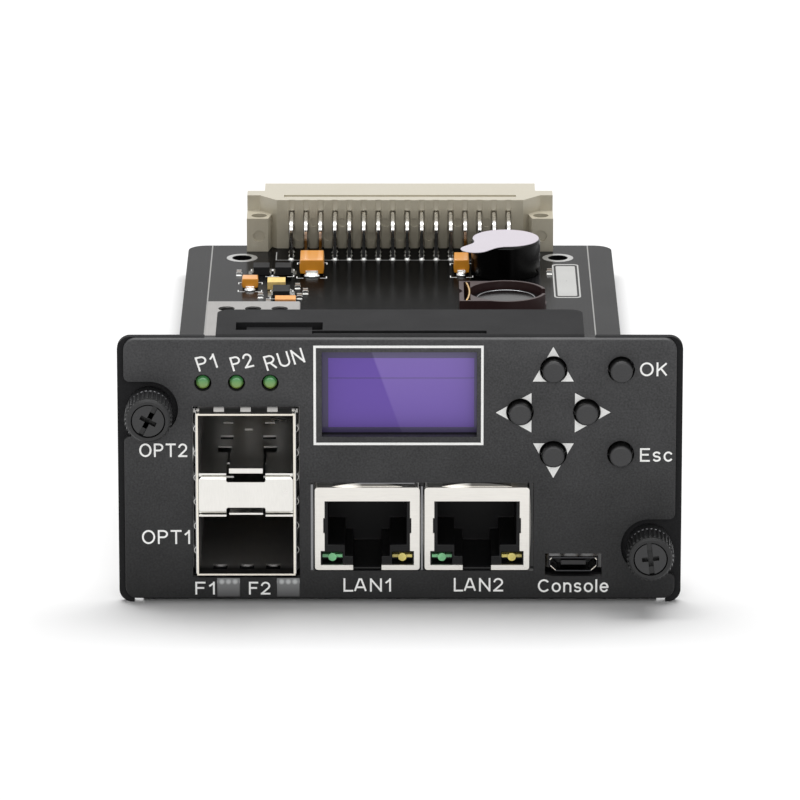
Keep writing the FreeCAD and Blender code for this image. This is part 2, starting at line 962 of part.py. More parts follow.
def make_main_board():
    half = board_width / 2
    rear = board_rear - board_rear_corner
    front = board_front + board_front_corner
    rear_bulge = board_rear_corner * DIAGONAL
    front_bulge = board_front_corner * DIAGONAL
    rear_x, front_x = half - board_rear_corner, half - board_front_corner
    path = [
        (front_x, board_front),
        (front_x + front_bulge, front - front_bulge, half, front),
        (half, rear),
        (rear_x + rear_bulge, rear + rear_bulge, rear_x, board_rear),
        (-rear_x, board_rear),
        (-rear_x - rear_bulge, rear + rear_bulge, -half, rear),
        (-half, front),
        (-front_x - front_bulge, front - front_bulge, -front_x, board_front),
    ]
    board = prism_z(path, board_bottom, board_top)
    rounds = [(x, y, rear_hole_radius) for x, y in rear_hole_points()]
    rounds += [(x, y, small_screw_radius + small_screw_fit) for x, y in post_points()]
    rounds += [(x, y, plug_hole_radius) for x, y in plug_screw_points()]
    squares = [(x, y, plug_pin + 2 * pin_fit) for x in pin_columns for y in pin_feet]
    squares += [(x, y, header_pin + 2 * pin_fit) for x in header_columns for y in header_feet]
    holes = [post(x, y, board_bottom, board_top, radius) for x, y, radius in rounds]
    holes += [slab(x, size, y - size / 2, y + size / 2, board_bottom, board_top) for x, y, size in squares]
    return board.cut(holes)


def make_board_post(x, y):
    return post(x, y, sheet, board_bottom, post_radius).cut(
        post(x, y, sheet, board_bottom, small_screw_radius + small_screw_fit))


def standing_screw(x, y, radius, seat, end):
    top = seat + small_head_height
    slot = slab(x, 2 * small_head_radius, y - slot_width / 2, y + slot_width / 2, top - slot_depth, top)
    return turned_upright(small_screw_path(radius, end, seat), x, y).cut(slot)


def make_board_screw(x, y):
    return standing_screw(x, y, small_screw_radius, board_top, 0)


# Stacked module cage
def floor_tongue(x, floor):
    # An opening whose rear edge is a rounded tongue.
    left, right = x - floor_tongue_half, x + floor_tongue_half
    start, end = cage_front + floor_tongue_start, cage_front + floor_tongue_end
    path = [(left, start), (right, start), (right, end), (x, end - floor_tongue_tip, left, end)]
    return prism_z(path, board_top, floor)


def make_cage_shell():
    shell = slab(cage_x, cage_width, cage_front, cage_rear, board_top, cage_top)
    shell = rounded(shell, Vec(0, 1, 0), cage_wall)
    under_top = cage_top - cage_wall
    floor = board_top + cage_wall
    inside = slab(cage_x, cage_width - 2 * cage_wall, cage_front, cage_rear - cage_wall, floor, under_top)
    host_width = cage_width - 4 * cage_wall
    host = slab(cage_x, host_width, host_front, host_front + host_depth, board_top, floor)
    vent_points = [(cage_x + column * vent_pitch, cage_rear - (row + 1) * vent_pitch)
                   for column in (-1, 0, 1) for row in range(vent_rows)]
    vents = [post(x, y, under_top, cage_top, vent_radius) for x, y in vent_points]
    tongues = [floor_tongue(cage_x + column * floor_tongue_pitch, floor) for column in (-1, 0, 1)]
    return shell.cut([inside, host] + vents + tongues)


def divider_front(half, low, top):
    # A plate folded back at its upper and lower edges, with its four front corners cut off.
    front = cage_front
    back = front + divider_return
    turn = divider_bend + divider_sheet
    curve = turn * DIAGONAL
    bend = divider_bend * DIAGONAL
    inner = front + divider_sheet
    path = [
        (back, top), (back, top - divider_sheet), (front + turn, top - divider_sheet),
        (front + turn - bend, top - turn + bend, inner, top - turn),
        (inner, low + turn),
        (front + turn - bend, low + turn - bend, front + turn, low + divider_sheet),
        (back, low + divider_sheet), (back, low), (front + turn, low),
        (front + turn - curve, low + turn - curve, front, low + turn),
        (front, top - turn),
        (front + turn - curve, top - turn + curve, front + turn, top),
    ]
    corners = []
    for side in (-1, 1):
        edge = cage_x + side * half
        for z, sign in ((top, -1), (low, 1)):
            corner = [(edge, z), (edge - side * divider_corner, z), (edge, z + sign * divider_corner)]
            corners.append(prism_y(corner, front, front + turn))
    return prism_x(path, cage_x - half, cage_x + half).cut(corners)


def divider_slots(z0, z1):
    slots = []
    for offset, width, y0, y1 in divider_slot_places:
        for x in sorted({cage_x - offset, cage_x + offset}):
            slots.append(slab(x, width, cage_front + y0, cage_front + y1, z0, z1))
    return slots


def make_cage_divider():
    half = cage_width / 2 - cage_wall
    low = board_top + divider_low
    top = low + divider_height
    front = cage_front
    back = front + divider_reach
    seat = divider_sheet + divider_seam
    side_slot = (divider_notch_width - latch_width) / 2
    slot_x = (divider_notch_width + latch_width) / 4
    lip_front = front + latch_gap + divider_bend + divider_sheet
    notches = []
    pieces = []
    for edge, sign in ((top, 1), (low, -1)):
        notch = sorted((edge - sign * divider_notch_depth, edge))
        plate = sorted((edge, edge - sign * divider_sheet))
        gap = slab(cage_x, divider_notch_width, front, front + divider_return, *notch)
        notches.append(rounded(gap, Vec(0, 1, 0), divider_notch_corner))
        cuts = [slab(cage_x, divider_notch_width, front, lip_front, *plate)] + divider_slots(*plate)
        for side in (-1, 1):
            cuts.append(slab(cage_x + side * slot_x, side_slot, front, front + latch_length, *plate))
        pieces.append(slab(cage_x, 2 * half, front, back, *plate).cut(cuts))
    lip_back = lip_front + divider_sheet
    lip = slab(cage_x, latch_width, lip_front, lip_back, top - divider_sheet, top + latch_lip)
    pieces[0] = join([pieces[0], lip])
    pieces.append(divider_front(half, low + seat, top - seat).cut(notches))
    return group(pieces)


def finger_path(root, sign):
    # A strip that leaves the wall at the hem, bulges out and comes back; points are (across, along).
    start = cage_front + finger_hem
    end = cage_front + finger_reach
    middle = (start + end) / 2
    wall = root + sign * finger_sheet
    peak = wall + sign * finger_bulge
    return [
        (root, cage_front), (wall, cage_front), (wall, start), (peak, middle, wall, end), (root, end),
        (peak - sign * finger_sheet, middle, root, start + finger_sheet), (root, start),
    ]


def top_finger_path():
    # A steep step and a long slope back down to the cage, as (along, up) points.
    start = cage_front + top_finger_start
    crest = start + top_finger_step
    end = cage_front + finger_reach
    peak = cage_top + top_finger_rise
    return [
        (start, cage_top), (crest, peak), (end, cage_top + finger_sheet), (end, cage_top),
        (crest + finger_sheet / 2, peak - finger_sheet), (start + finger_sheet, cage_top),
    ]


def make_cage_gasket():
    half = cage_width / 2
    pieces = []
    first = board_top + finger_rise
    pitch = (cage_height - finger_rise - finger_drop) / (finger_count - 1)
    for sign in (-1, 1):
        root = cage_x + sign * half
        hem = sorted((root, root + sign * finger_sheet))
        tab_top = cage_top + top_finger_rise
        hem_end = cage_front + finger_hem
        strip = [box(hem[0], hem[1], cage_front, hem_end, board_top + cage_wall, cage_top - cage_wall)]
        strip.append(box(hem[0], hem[1], hem_end - finger_sheet, hem_end, cage_top - cage_wall, tab_top))
        strip.append(slab(root, corner_tab_width, hem_end - finger_sheet, hem_end, cage_top, tab_top))
        for i in range(finger_count):
            z = first + i * pitch
            strip.append(prism_z(finger_path(root, sign), z - finger_height / 2, z + finger_height / 2))
        pieces.append(join(strip))
    hem_start = cage_front + finger_reach
    strip = [slab(cage_x, cage_width - 2 * cage_wall, hem_start, hem_start + finger_hem, cage_top,
                  cage_top + finger_sheet)]
    for i in range(top_finger_count):
        x = cage_x + (i - (top_finger_count - 1) / 2) * top_finger_pitch
        strip.append(prism_x(top_finger_path(), x - top_finger_width / 2, x + top_finger_width / 2))
    pieces.append(join(strip))
    return group(pieces)


def port_middles():
    low = board_top + divider_low
    return ((board_top + cage_wall + low) / 2, (low + divider_height + cage_top - cage_wall) / 2)


def make_cage_connector():
    width = cage_width - 4 * cage_wall
    body = slab(cage_x, width, host_front, host_front + host_depth, board_top, cage_top - 2 * cage_wall)
    half = host_slot_height / 2
    slots = [slab(cage_x, host_slot_width, host_front, host_front + host_slot_depth, z - half, z + half)
             for z in port_middles()]
    return body.cut(slots)


def make_cage_contacts():
    blades = []
    start, end = host_front + host_contact_thick, host_front + host_slot_depth
    wall, face = host_slot_height / 2, host_slot_height / 2 - host_contact_thick
    for z in port_middles():
        for sign in (-1, 1):
            low, top = sorted((z + sign * wall, z + sign * face))
            for i in range(host_contacts):
                x = cage_x + (i - (host_contacts - 1) / 2) * host_contact_pitch
                blades.append(slab(x, host_contact_width, start, end, low, top))
    return group(blades)


# Network jacks
def jack_opening(x):
    half, light, notch = jack_open_width / 2, jack_light_width / 2, jack_notch_width / 2
    low = jack_bottom + jack_low_band
    shelf = jack_bottom + jack_light_top
    top = jack_top - jack_top_band
    path = [
        (x - notch, jack_bottom - jack_wall), (x - notch, low), (x - light, low), (x - light, shelf),
        (x - half, shelf), (x - half, top), (x + half, top), (x + half, shelf), (x + light, shelf),
        (x + light, low), (x + notch, low), (x + notch, jack_bottom - jack_wall),
    ]
    return prism_y(path, -jack_wall, 2 * jack_wall)


def make_jack_shield(x):
    half = jack_width / 2
    shell = rounded(slab(x, jack_width, 0, jack_depth, jack_bottom, jack_top), Vec(0, 1, 0), jack_edge)
    inside = slab(x, jack_width - 2 * jack_wall, jack_wall, jack_depth - jack_wall, jack_bottom - jack_wall,
                  jack_top - jack_wall)
    middle_y = jack_depth / 2
    low, top = jack_bottom + jack_edge, jack_top - jack_edge
    middle_z = (low + top) / 2
    bow_left, bow_right = x - jack_spring_half, x + jack_spring_half
    bow = [(bow_left, jack_top), (x, jack_top + jack_top_spring_rise, bow_right, jack_top)]
    springs = [prism_y(bow, jack_spring_start, jack_spring_start + jack_spring_length)]
    feet = []
    for side in (-1, 1):
        wall = x + side * half
        bow = [(wall, low), (wall + side * jack_spring_rise, middle_z, wall, top)]
        springs.append(prism_y(bow, jack_side_spring_start, jack_side_spring_start + jack_spring_length))
        feet.append(slab(wall - side * jack_wall / 2, jack_wall, middle_y - jack_wall, middle_y + jack_wall,
                         board_top, low))
    notch_low = jack_bottom + jack_side_notch_rise
    notch = slab(x, jack_open_width + 2 * jack_side_notch, 0, jack_wall, notch_low,
                 notch_low + jack_side_notch_height)
    return join([shell.cut([inside, jack_opening(x), notch])] + feet + springs)


def plug_cavity(x):
    half, shelf, channel = plug_width / 2, plug_shelf_width / 2, jack_notch_width / 2
    floor = jack_bottom + plug_floor
    step = jack_bottom + plug_shelf
    low = jack_bottom + plug_channel_floor
    top = jack_top - jack_top_band - plug_top_gap
    path = [
        (x - channel, low), (x - channel, step), (x - shelf, step), (x - shelf, floor), (x - half, floor),
        (x - half, top), (x + half, top), (x + half, floor), (x + shelf, floor), (x + shelf, step),
        (x + channel, step), (x + channel, low),
    ]
    return prism_y(path, jack_wall, jack_wall + plug_depth)


def light_pocket_low():
    return jack_bottom + jack_low_band + jack_fit


def make_jack_insert(x):
    inner = jack_wall + jack_fit
    width = jack_width - 2 * inner
    back = jack_depth - jack_wall
    block = slab(x, width, jack_wall, back, jack_bottom, jack_top - inner)
    rib = slab(x, width, jack_wall + plug_depth, back, board_top, jack_bottom)
    low = light_pocket_low()
    top = low + light_pocket_height
    floor = jack_wall + light_pocket_depth
    pockets = [slab(x + side * light_pocket_x, light_pocket_width, jack_wall, floor, low, top)
               for side in (-1, 1)]
    return join([block, rib]).cut([plug_cavity(x)] + pockets)


def make_jack_light(x):
    z = light_pocket_low() + light_pocket_height / 2
    floor = jack_wall + light_pocket_depth
    lens = rod(x, z, light_front, floor, light_radius)
    width = light_pocket_width - 2 * jack_fit
    lead = slab(x, width, light_front + light_radius, floor, z - light_lead / 2, z + light_lead / 2)
    return join([lens, lead])


def make_jack_contacts():
    wires = []
    half = contact_size / 2
    top = jack_top - jack_top_band - plug_top_gap
    front, back = jack_wall + contact_start, jack_wall + plug_depth
    path = [(front, top), (back, top - contact_drop), (back, top - contact_drop - contact_size),
            (front, top - contact_size)]
    for x in jack_places:
        for i in range(contact_count):
            middle = x + (i - (contact_count - 1) / 2) * contact_pitch
            wires.append(prism_x(path, middle - half, middle + half))
    return group(wires)


# Console socket
def console_path(grow):
    half = console_width / 2 + grow
    low_half = half - console_taper
    low = console_bottom + console_flare - grow
    top = low + console_height + 2 * grow
    waist = low + console_waist
    return [(console_x - low_half, low), (console_x - half, waist), (console_x - half, top),
            (console_x + half, top), (console_x + half, waist), (console_x + low_half, low)]


def make_console_shell():
    outer = prism_y(console_path(0), console_front, console_front + console_depth)
    flare = prism_y(console_path(console_flare), console_front, console_front + console_wall)
    inside = prism_y(console_path(-console_wall), console_front, console_front + console_depth - console_wall)
    foot = slab(console_x, console_width - 2 * console_taper, board_front, console_front + console_depth,
                board_top, console_bottom + console_flare)
    return join([outer, flare, foot]).cut(inside)


def make_console_tongue():
    back = console_front + console_depth - console_wall
    root = back - tongue_root
    block = prism_y(console_path(-console_wall), root, back)
    low = console_bottom + console_flare + tongue_rise
    tongue = slab(console_x, tongue_width, root - tongue_reach, back, low, low + tongue_height)
    return join([block, tongue])


# Backplane plug
def make_plug_housing():
    top = board_top + plug_body_height
    middle = pin_heights[plug_rows // 2]
    low = 2 * middle - top
    past_board = board_rear + plug_edge_gap
    path = [
        (plug_body_front, board_top),
        (plug_body_front, top),
        (plug_wall_front, top),
        (plug_wall_front, low),
        (past_board, low),
        (past_board, board_top),
    ]
    body = prism_x(path, -plug_body_width / 2, plug_body_width / 2)
    wall = slab(0, plug_total_width, plug_wall_front, plug_wall_rear, low, top)
    hood = slab(0, plug_hood_width, plug_wall_rear, plug_face, low, top)
    solids = [body, wall, hood]
    for side in (-1, 1):
        outer = side * plug_total_width / 2
        inner = outer - side * plug_block_width
        path = [(outer, plug_block_front), (inner, plug_block_front),
                (inner - side * plug_block_root, plug_wall_front), (outer, plug_wall_front)]
        solids.append(prism_z(path, board_top, board_top + plug_block_height))
        edge = side * plug_body_width / 2
        past = edge + side * plug_shoulder
        path = [(edge, plug_body_front), (past, plug_wall_front), (edge, plug_wall_front)]
        solids.append(prism_z(path, board_top, top))
    housing = join(solids)
    cavity_floor = plug_face - plug_cavity_depth
    cavity_width = plug_hood_width - 2 * plug_hood_wall
    groove = plug_body_front + plug_groove_start
    groove_end = groove + plug_groove_width
    cuts = [
        slab(0, cavity_width, cavity_floor, plug_face, low + plug_hood_wall, top - plug_hood_wall),
        slab(0, plug_groove_length, groove, groove_end, top - plug_groove_depth, top),
    ]
    dimple_end = plug_block_front + plug_dimple_depth
    for x, y in plug_screw_points():
        cuts.append(post(x, y, board_top, board_top + plug_block_height, plug_hole_radius))
        cuts.append(rod(x, board_top + plug_dimple_rise, plug_block_front, dimple_end, plug_dimple_radius))
    mark_end = plug_body_front + plug_mark_depth
    for rise, columns in zip(plug_mark_rises, plug_mark_columns):
        z = board_top + rise
        for x in [pin_columns[i] + plug_pitch / 2 for i in range(plug_columns) if i in columns]:
            cuts.append(rod(x, z, plug_body_front, mark_end, plug_mark_radius))
    size = plug_pin + 2 * pin_fit
    slot_top = pin_heights[-1] + plug_slot_over
    slot_end = plug_body_front + plug_slot_depth
    flute_end = plug_body_front + plug_flute_depth
    for x in pin_columns:
        cuts.append(slab(x, plug_slot_width, plug_body_front, slot_end, board_top, slot_top))
        cuts.append(slab(x, plug_slot_width, plug_body_front, flute_end, slot_top, top))
        for z in pin_heights:
            cuts.append(slab(x, size, plug_body_front, cavity_floor, z - size / 2, z + size / 2))
    return housing.cut(cuts)


def make_plug_screw(x, y):
    # The head is under the board and the shank stops inside the end block.
    seat = panel_height - board_bottom
    end = panel_height - board_top - plug_screw_reach
    return upside_down(standing_screw(x, y, plug_hole_radius - small_screw_fit, seat, end))


def make_plug_pins():
    return group([bent_pin(x, plug_pin, plug_pin_bend, plug_face - plug_pin_reach, foot, z, tail_end)
                  for x in pin_columns for z, foot in zip(pin_heights, pin_feet)])


# Buzzer, coin cell and the parts on the board
def drum_path(low, height, radius, edge):
    # Radius against height of a round can with a chamfered upper edge.
    top = low + height
    return [(0, low), (radius, low), (radius, top - edge), (radius - edge, top), (0, top)]


def make_buzzer_case():
    return turned_upright(drum_path(board_top, buzzer_height, buzzer_radius, buzzer_edge), buzzer_x, buzzer_y)


def make_buzzer_label():
    # A disc with a pull tab, blended into it and rounded at its end.
    half = label_tab_width / 2
    disc = post(0, 0, 0, label_thick, label_radius)
    tab = box(0, label_tab_length, -half, half, 0, label_thick)
    end = post(label_tab_length, 0, 0, label_thick, half)
    label = join([disc, tab, end])
    root = math.sqrt(label_radius ** 2 - half ** 2)
    corners = [e for e in label.Edges
               if abs(e.BoundBox.XMax - root) + abs(e.BoundBox.XMin - root) < TINY]
    label = label.makeFillet(label_blend, corners)
    label.rotate(Vec(0, 0, 0), Vec(0, 0, 1), label_tab_turn)
    label.translate(Vec(buzzer_x, buzzer_y, board_top + buzzer_height))
    return label


def make_cell_holder():
    top = board_top + holder_height
    floor = board_top + holder_floor
    ring = post(cell_x, cell_y, board_top, top, holder_radius)
    seat_half, gate_half = holder_seat_width / 2, holder_gate / 2
    left = cell_x - holder_seat_reach
    seat = box(left, cell_x, cell_y - seat_half, cell_y + seat_half, board_top, top)
    corner = [(left, cell_y - holder_notch_half), (left + holder_notch, cell_y),
              (left, cell_y + holder_notch_half)]
    well = post(cell_x, cell_y, floor, top, cell_radius + holder_fit)
    gate_low = floor + cell_thick / 2
    gate = box(cell_x, cell_x + holder_radius, cell_y - gate_half, cell_y + gate_half, gate_low, top)
    room_right = cell_x - cell_radius
    room_left = room_right - clip_bow - clip_thick - clip_room
    room_half = clip_length / 2 + clip_room
    room = box(room_left, room_right, cell_y - room_half, cell_y + room_half, floor, top)
    return join([ring, seat]).cut([well, gate, room, prism_z(corner, board_top, top)])


def make_coin_cell():
    path = drum_path(board_top + holder_floor, cell_thick, cell_radius, cell_edge)
    return turned_upright(path, cell_x, cell_y)


def make_cell_clip():
    # A sprung strip on edge, bowed towards the cell so that its middle touches the cell's side.
    half = clip_length / 2
    touch = cell_x - cell_radius
    near = touch - clip_bow
    far = near - clip_thick
    path = [
        (near, cell_y - half), (touch, cell_y, near, cell_y + half), (far, cell_y + half),
        (touch - clip_thick, cell_y, far, cell_y - half),
    ]
    return prism_z(path, board_top + holder_floor, board_top + holder_height)


def moulded_body(x, y, width, length, low, height, draft):
    # A moulded case that is widest at its parting line and draws in above and below.
    def ring(z, inset):
        half_x, half_y = width / 2 - inset, length / 2 - inset
        return Part.makePolygon([Vec(x + sx * half_x, y + sy * half_y, z)
                                 for sx, sy in ((-1, -1), (1, -1), (1, 1), (-1, 1), (-1, -1))])
    middle = low + height * parting_share
    return Part.makeLoft([ring(low, draft), ring(middle, 0), ring(low + height, draft)], True, True)


def make_tantalum(place):
    x, y, width, length, height = place
    case_length = length - 2 * terminal_thick
    case_height = height - tantalum_lift
    return moulded_body(x, y, width, case_length, board_top + tantalum_lift, case_height, tantalum_draft)


def make_tantalum_terminals(place):
    x, y, width, length, height = place
    half = width * terminal_share / 2
    terminals = []
    for side in (-1, 1):
        outer = y + side * length / 2
        inner = outer - side * terminal_thick
        foot = outer - side * terminal_foot
        rise = board_top + height * terminal_rise_share
        path = [(outer, board_top), (outer, rise), (inner, rise),
                (inner, board_top + tantalum_lift), (foot, board_top + tantalum_lift), (foot, board_top)]
        terminals.append(prism_x(path, x - half, x + half))
    return terminals


def make_chip(place):
    x, y, width, length, height = place
    return slab(x, width, y - length / 2, y + length / 2, board_top, board_top + height)


def make_chip_components():
    width, length, height = passive_size
    parts = [make_chip((x, y, width, length, height)) for x, y in passive_places]
    parts.append(rounded(make_chip(coil_place), Vec(0, 0, 1), coil_corner))
    parts += [make_chip(place) for place in (crystal_place, filter_place, diode_place)]
    return group(parts)


# Every piece of the card by its name
nodes = {
    "front_bracket": make_front_bracket(),
    "front_fascia": make_front_fascia(),
    "port_light_windows": make_port_light_windows(),
    "screw_ferrules": group([make_ferrule(x, z) for x, z in screw_places.values()]),
    "display_board": make_display_board(),
    "display_board_spacers": group([make_spacer(x, z) for x, z in spacer_points]),
    "display_board_screws": group([make_spacer_screw(x, z) for x, z in spacer_points]),
    "display_glass": glass_plate(glass_front, cap_front, glass_bottom, glass_top),
    "display_cap": glass_plate(cap_front, cap_back, glass_bottom + cap_ledge, glass_top),
    "display_carrier": make_display_carrier(),
    "display_flex": make_display_flex(),
    "status_lights": group([make_status_light(x) for x in status_places]),
    "status_light_holders": group([make_status_holder(x) for x in status_places]),
    "switch_bases": group([make_switch_base(x, z) for x, z in key_places.values()]),
    "switch_covers": group([make_switch_cover(x, z) for x, z in key_places.values()]),
    "link_header": make_link_header(),
    "link_header_pins": make_link_header_pins(),
    "main_board": make_main_board(),
    "main_board_posts": group([make_board_post(x, y) for x, y in post_points()]),
    "main_board_screws": group([make_board_screw(x, y) for x, y in post_points()]),
    "cage_shell": make_cage_shell(),
    "cage_divider": make_cage_divider(),
    "cage_gasket": make_cage_gasket(),
    "cage_connector": make_cage_connector(),
    "cage_contacts": make_cage_contacts(),
    "jack_contacts": make_jack_contacts(),
    "jack_green_lights": group([make_jack_light(x - light_pocket_x) for x in jack_places]),
    "jack_amber_lights": group([make_jack_light(x + light_pocket_x) for x in jack_places]),
    "console_shell": make_console_shell(),
    "console_tongue": make_console_tongue(),
    "backplane_housing": make_plug_housing(),
    "backplane_pins": make_plug_pins(),
    "backplane_screws": group([make_plug_screw(x, y) for x, y in plug_screw_points()]),
    "buzzer_case": make_buzzer_case(),
    "buzzer_label": make_buzzer_label(),
    "cell_holder": make_cell_holder(),
    "coin_cell": make_coin_cell(),
    "cell_clip": make_cell_clip(),
    "tantalum_capacitors": group([make_tantalum(place) for place in tantalum_places]),
    "tantalum_terminals": group([t for place in tantalum_places for t in make_tantalum_terminals(place)]),
    "processor": make_chip(processor_place),
    "memory_chips": group([make_chip(place) for place in memory_places]),
    "small_chips": group([make_chip(place) for place in chip_places]),
    "chip_components": make_chip_components(),
}
for name, (x, z) in key_places.items():
    nodes[name] = make_key(x, z)
for side, (x, z) in screw_places.items():
    nodes[side + "_knob"] = make_knob(x, z)
    nodes[side + "_captive_screw"] = make_captive_screw(x, z, slot_turns[side])
    nodes[side + "_retaining_ring"] = make_retaining_ring(x, z)
for side, x in zip(("left", "right"), jack_places):
    nodes[side + "_jack_shield"] = make_jack_shield(x)
    nodes[side + "_jack_insert"] = make_jack_insert(x)

# The origin is at the bottom, in the middle of the length
os.makedirs("parts", exist_ok=True)
for name, shape in nodes.items():
    shape.translate(Vec(0, -middle_y, 0))
    shape.exportStep("parts/" + name + ".step")
print(len(nodes), "pieces, overall length", round(plug_face - knob_front, 2))
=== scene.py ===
import json
import math
import bpy
import bmesh
import numpy as np
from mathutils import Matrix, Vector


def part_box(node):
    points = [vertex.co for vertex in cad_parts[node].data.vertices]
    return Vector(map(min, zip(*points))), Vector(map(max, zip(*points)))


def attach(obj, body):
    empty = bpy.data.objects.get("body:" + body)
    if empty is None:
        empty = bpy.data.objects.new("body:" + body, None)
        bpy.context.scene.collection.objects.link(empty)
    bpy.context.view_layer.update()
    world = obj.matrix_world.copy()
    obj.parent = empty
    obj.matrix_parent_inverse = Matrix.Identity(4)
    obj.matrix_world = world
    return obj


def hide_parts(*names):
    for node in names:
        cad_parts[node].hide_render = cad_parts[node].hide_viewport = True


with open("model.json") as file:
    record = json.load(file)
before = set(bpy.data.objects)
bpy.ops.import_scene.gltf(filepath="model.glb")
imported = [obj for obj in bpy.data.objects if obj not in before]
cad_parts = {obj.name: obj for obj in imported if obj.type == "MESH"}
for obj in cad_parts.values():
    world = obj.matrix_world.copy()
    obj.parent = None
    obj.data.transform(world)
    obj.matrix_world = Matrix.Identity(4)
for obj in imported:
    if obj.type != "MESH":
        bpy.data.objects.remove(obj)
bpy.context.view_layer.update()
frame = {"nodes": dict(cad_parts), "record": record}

scene = bpy.context.scene
record = frame["record"]
mm = 0.001
slotOf = {part["node"]: part["material_slot"] for part in record["subparts"]}
bodyOf = {node: body for body, members in record["behaviour"]["bodies"].items() for node in members}
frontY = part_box("front_fascia")[0].y  # front of the fascia
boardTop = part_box("main_board")[1].z / mm  # upper face of the main board, in millimetres


def srgb(red, green, blue):
    # screen values from 0 to 255 turned into linear light
    tone = np.array((red, green, blue)) / 255
    linear = np.where(tone <= 0.04045, tone / 12.92, ((tone + 0.055) / 1.055) ** 2.4)
    return tuple(float(value) for value in linear) + (1.0,)


def deep(depth):
    # millimetres behind the fascia's front turned into the frame's y in metres
    return frontY + depth * mm


def pick(look, names):
    # the named values of a dictionary, in their order
    return (look[name] for name in names.split())


# Shader nodes written as formulas


class Field:
    # a node's output that varies over the surface; a sum or product of fields places the math node for it
    def __init__(self, socket):
        self.socket = socket
        self.tree = socket.id_data

    def __add__(self, other):
        return mathField("ADD", self, other)

    def __sub__(self, other):
        return mathField("SUBTRACT", self, other)

    def __rsub__(self, other):
        return mathField("SUBTRACT", other, self)

    def __mul__(self, other):
        return mathField("MULTIPLY", self, other)

    def __truediv__(self, other):
        return mathField("DIVIDE", self, other)

    def __gt__(self, other):  # one where the field is greater, and nought elsewhere
        return mathField("GREATER_THAN", self, other)

    def __lt__(self, other):  # one where the field is less, and nought elsewhere
        return mathField("LESS_THAN", self, other)


def feed(entries, values):
    # by name or number, a field is linked to its input and a plain value is set on it
    for key, value in values.items():
        if isinstance(value, Field):
            value.tree.links.new(value.socket, entries[key])
        else:
            entries[key].default_value = value


def placeNode(kind, values, **settings):
    # one shader node in the tree of its first field, with its settings made and its inputs fed
    tree = next(value.tree for value in values.values() if isinstance(value, Field))
    node = tree.nodes.new("ShaderNode" + kind)
    for name, value in settings.items():
        setattr(node, name, value)
    feed(node.inputs, values)
    return node


def mathField(operation, *values, clamp=False):
    # the operation on the values in their order, kept from nought to one where clamped
    node = placeNode("Math", dict(enumerate(values)), operation=operation, use_clamp=clamp)
    return Field(node.outputs[0])


def vectorField(operation, values, output=0):
    # the operation on whole vectors or colours
    return Field(placeNode("VectorMath", values, operation=operation).outputs[output])


def scaledField(colour, factor):
    # each channel of the colour times the factor
    return vectorField("SCALE", {0: colour, "Scale": factor})


def lengthField(across, up):
    # root of the sum of both squares
    return mathField("SQRT", across * across + up * up)


def wrappedField(value, pitch):
    # the distance from the nearest multiple of the pitch, with its sign
    return mathField("WRAP", value, -pitch / 2, pitch / 2)


def noiseField(vector, scale, detail):
    # cloud noise from nought to one
    return Field(placeNode("TexNoise", {"Vector": vector, "Scale": scale, "Detail": detail}).outputs["Fac"])


def axisFields(vector):
    # x, y and z of a place
    return [Field(socket) for socket in placeNode("SeparateXYZ", {0: vector}).outputs]


def rampField(share, low, high, end=1.0):
    # runs from the low tone to the high one as the share goes from nought to the end
    node = placeNode("ValToRGB", {"Fac": share})
    first, last = node.color_ramp.elements
    first.color = srgb(*low)
    last.color = srgb(*high)
    last.position = end
    return Field(node.outputs["Color"])


# Shared effects

socketKinds = dict(Vector="Vector", Stretch="Vector", Axis="Vector", Colour="Color")  # all others are floats
grainMix = dict(detail=4.0, share=1.3, broad=0.04, broadDetail=3.0, broadShare=0.7, middle=1.0)
handlingNoise = dict(scale=130.0, detail=4.0, middle=0.5)
rollMix = dict(detail=5.0, cloud=240.0, cloudDetail=3.0, cloudShare=0.6, middle=0.8)
copperBands = dict(cells=95.0, pitches=(0.00062, 0.00074), level=0.25, acrossFrom=0.55, alongTo=0.25)


def newGroup(name, inputs, outputs):
    # an empty effect with the named sockets; gives its tree, its inputs as fields and its output sockets
    tree = bpy.data.node_groups.new(name, "ShaderNodeTree")
    for way, labels in (("INPUT", inputs), ("OUTPUT", outputs)):
        for label in labels.split():
            kind = "NodeSocket" + socketKinds.get(label, "Float")
            tree.interface.new_socket(label, in_out=way, socket_type=kind)
    given = tree.nodes.new("NodeGroupInput").outputs
    return tree, [Field(given[label]) for label in inputs.split()], tree.nodes.new("NodeGroupOutput").inputs


def buildGrain():
    # colour times one plus contrast times a fine and a broad noise; the fine noise is the height too
    tree, given, sink = newGroup("coatGrain", "Vector Colour Scale Contrast", "Colour Height")
    place, colour, scale, contrast = given
    fine = noiseField(place, scale, grainMix["detail"])
    broad = noiseField(place, scale * grainMix["broad"], grainMix["broadDetail"])
    mixed = fine * grainMix["share"] + broad * grainMix["broadShare"]
    swing = (mixed - grainMix["middle"]) * contrast
    feed(sink, {"Colour": scaledField(colour, swing + 1.0), "Height": fine})
    return tree


def buildHandling():
    # roughness plus a slow noise, as fingers and wiping leave it
    tree, (place, rough, amount), sink = newGroup("handling", "Vector Rough Amount", "Rough")
    slow = noiseField(place, handlingNoise["scale"], handlingNoise["detail"]) - handlingNoise["middle"]
    feed(sink, {"Rough": slow * amount + rough})
    return tree


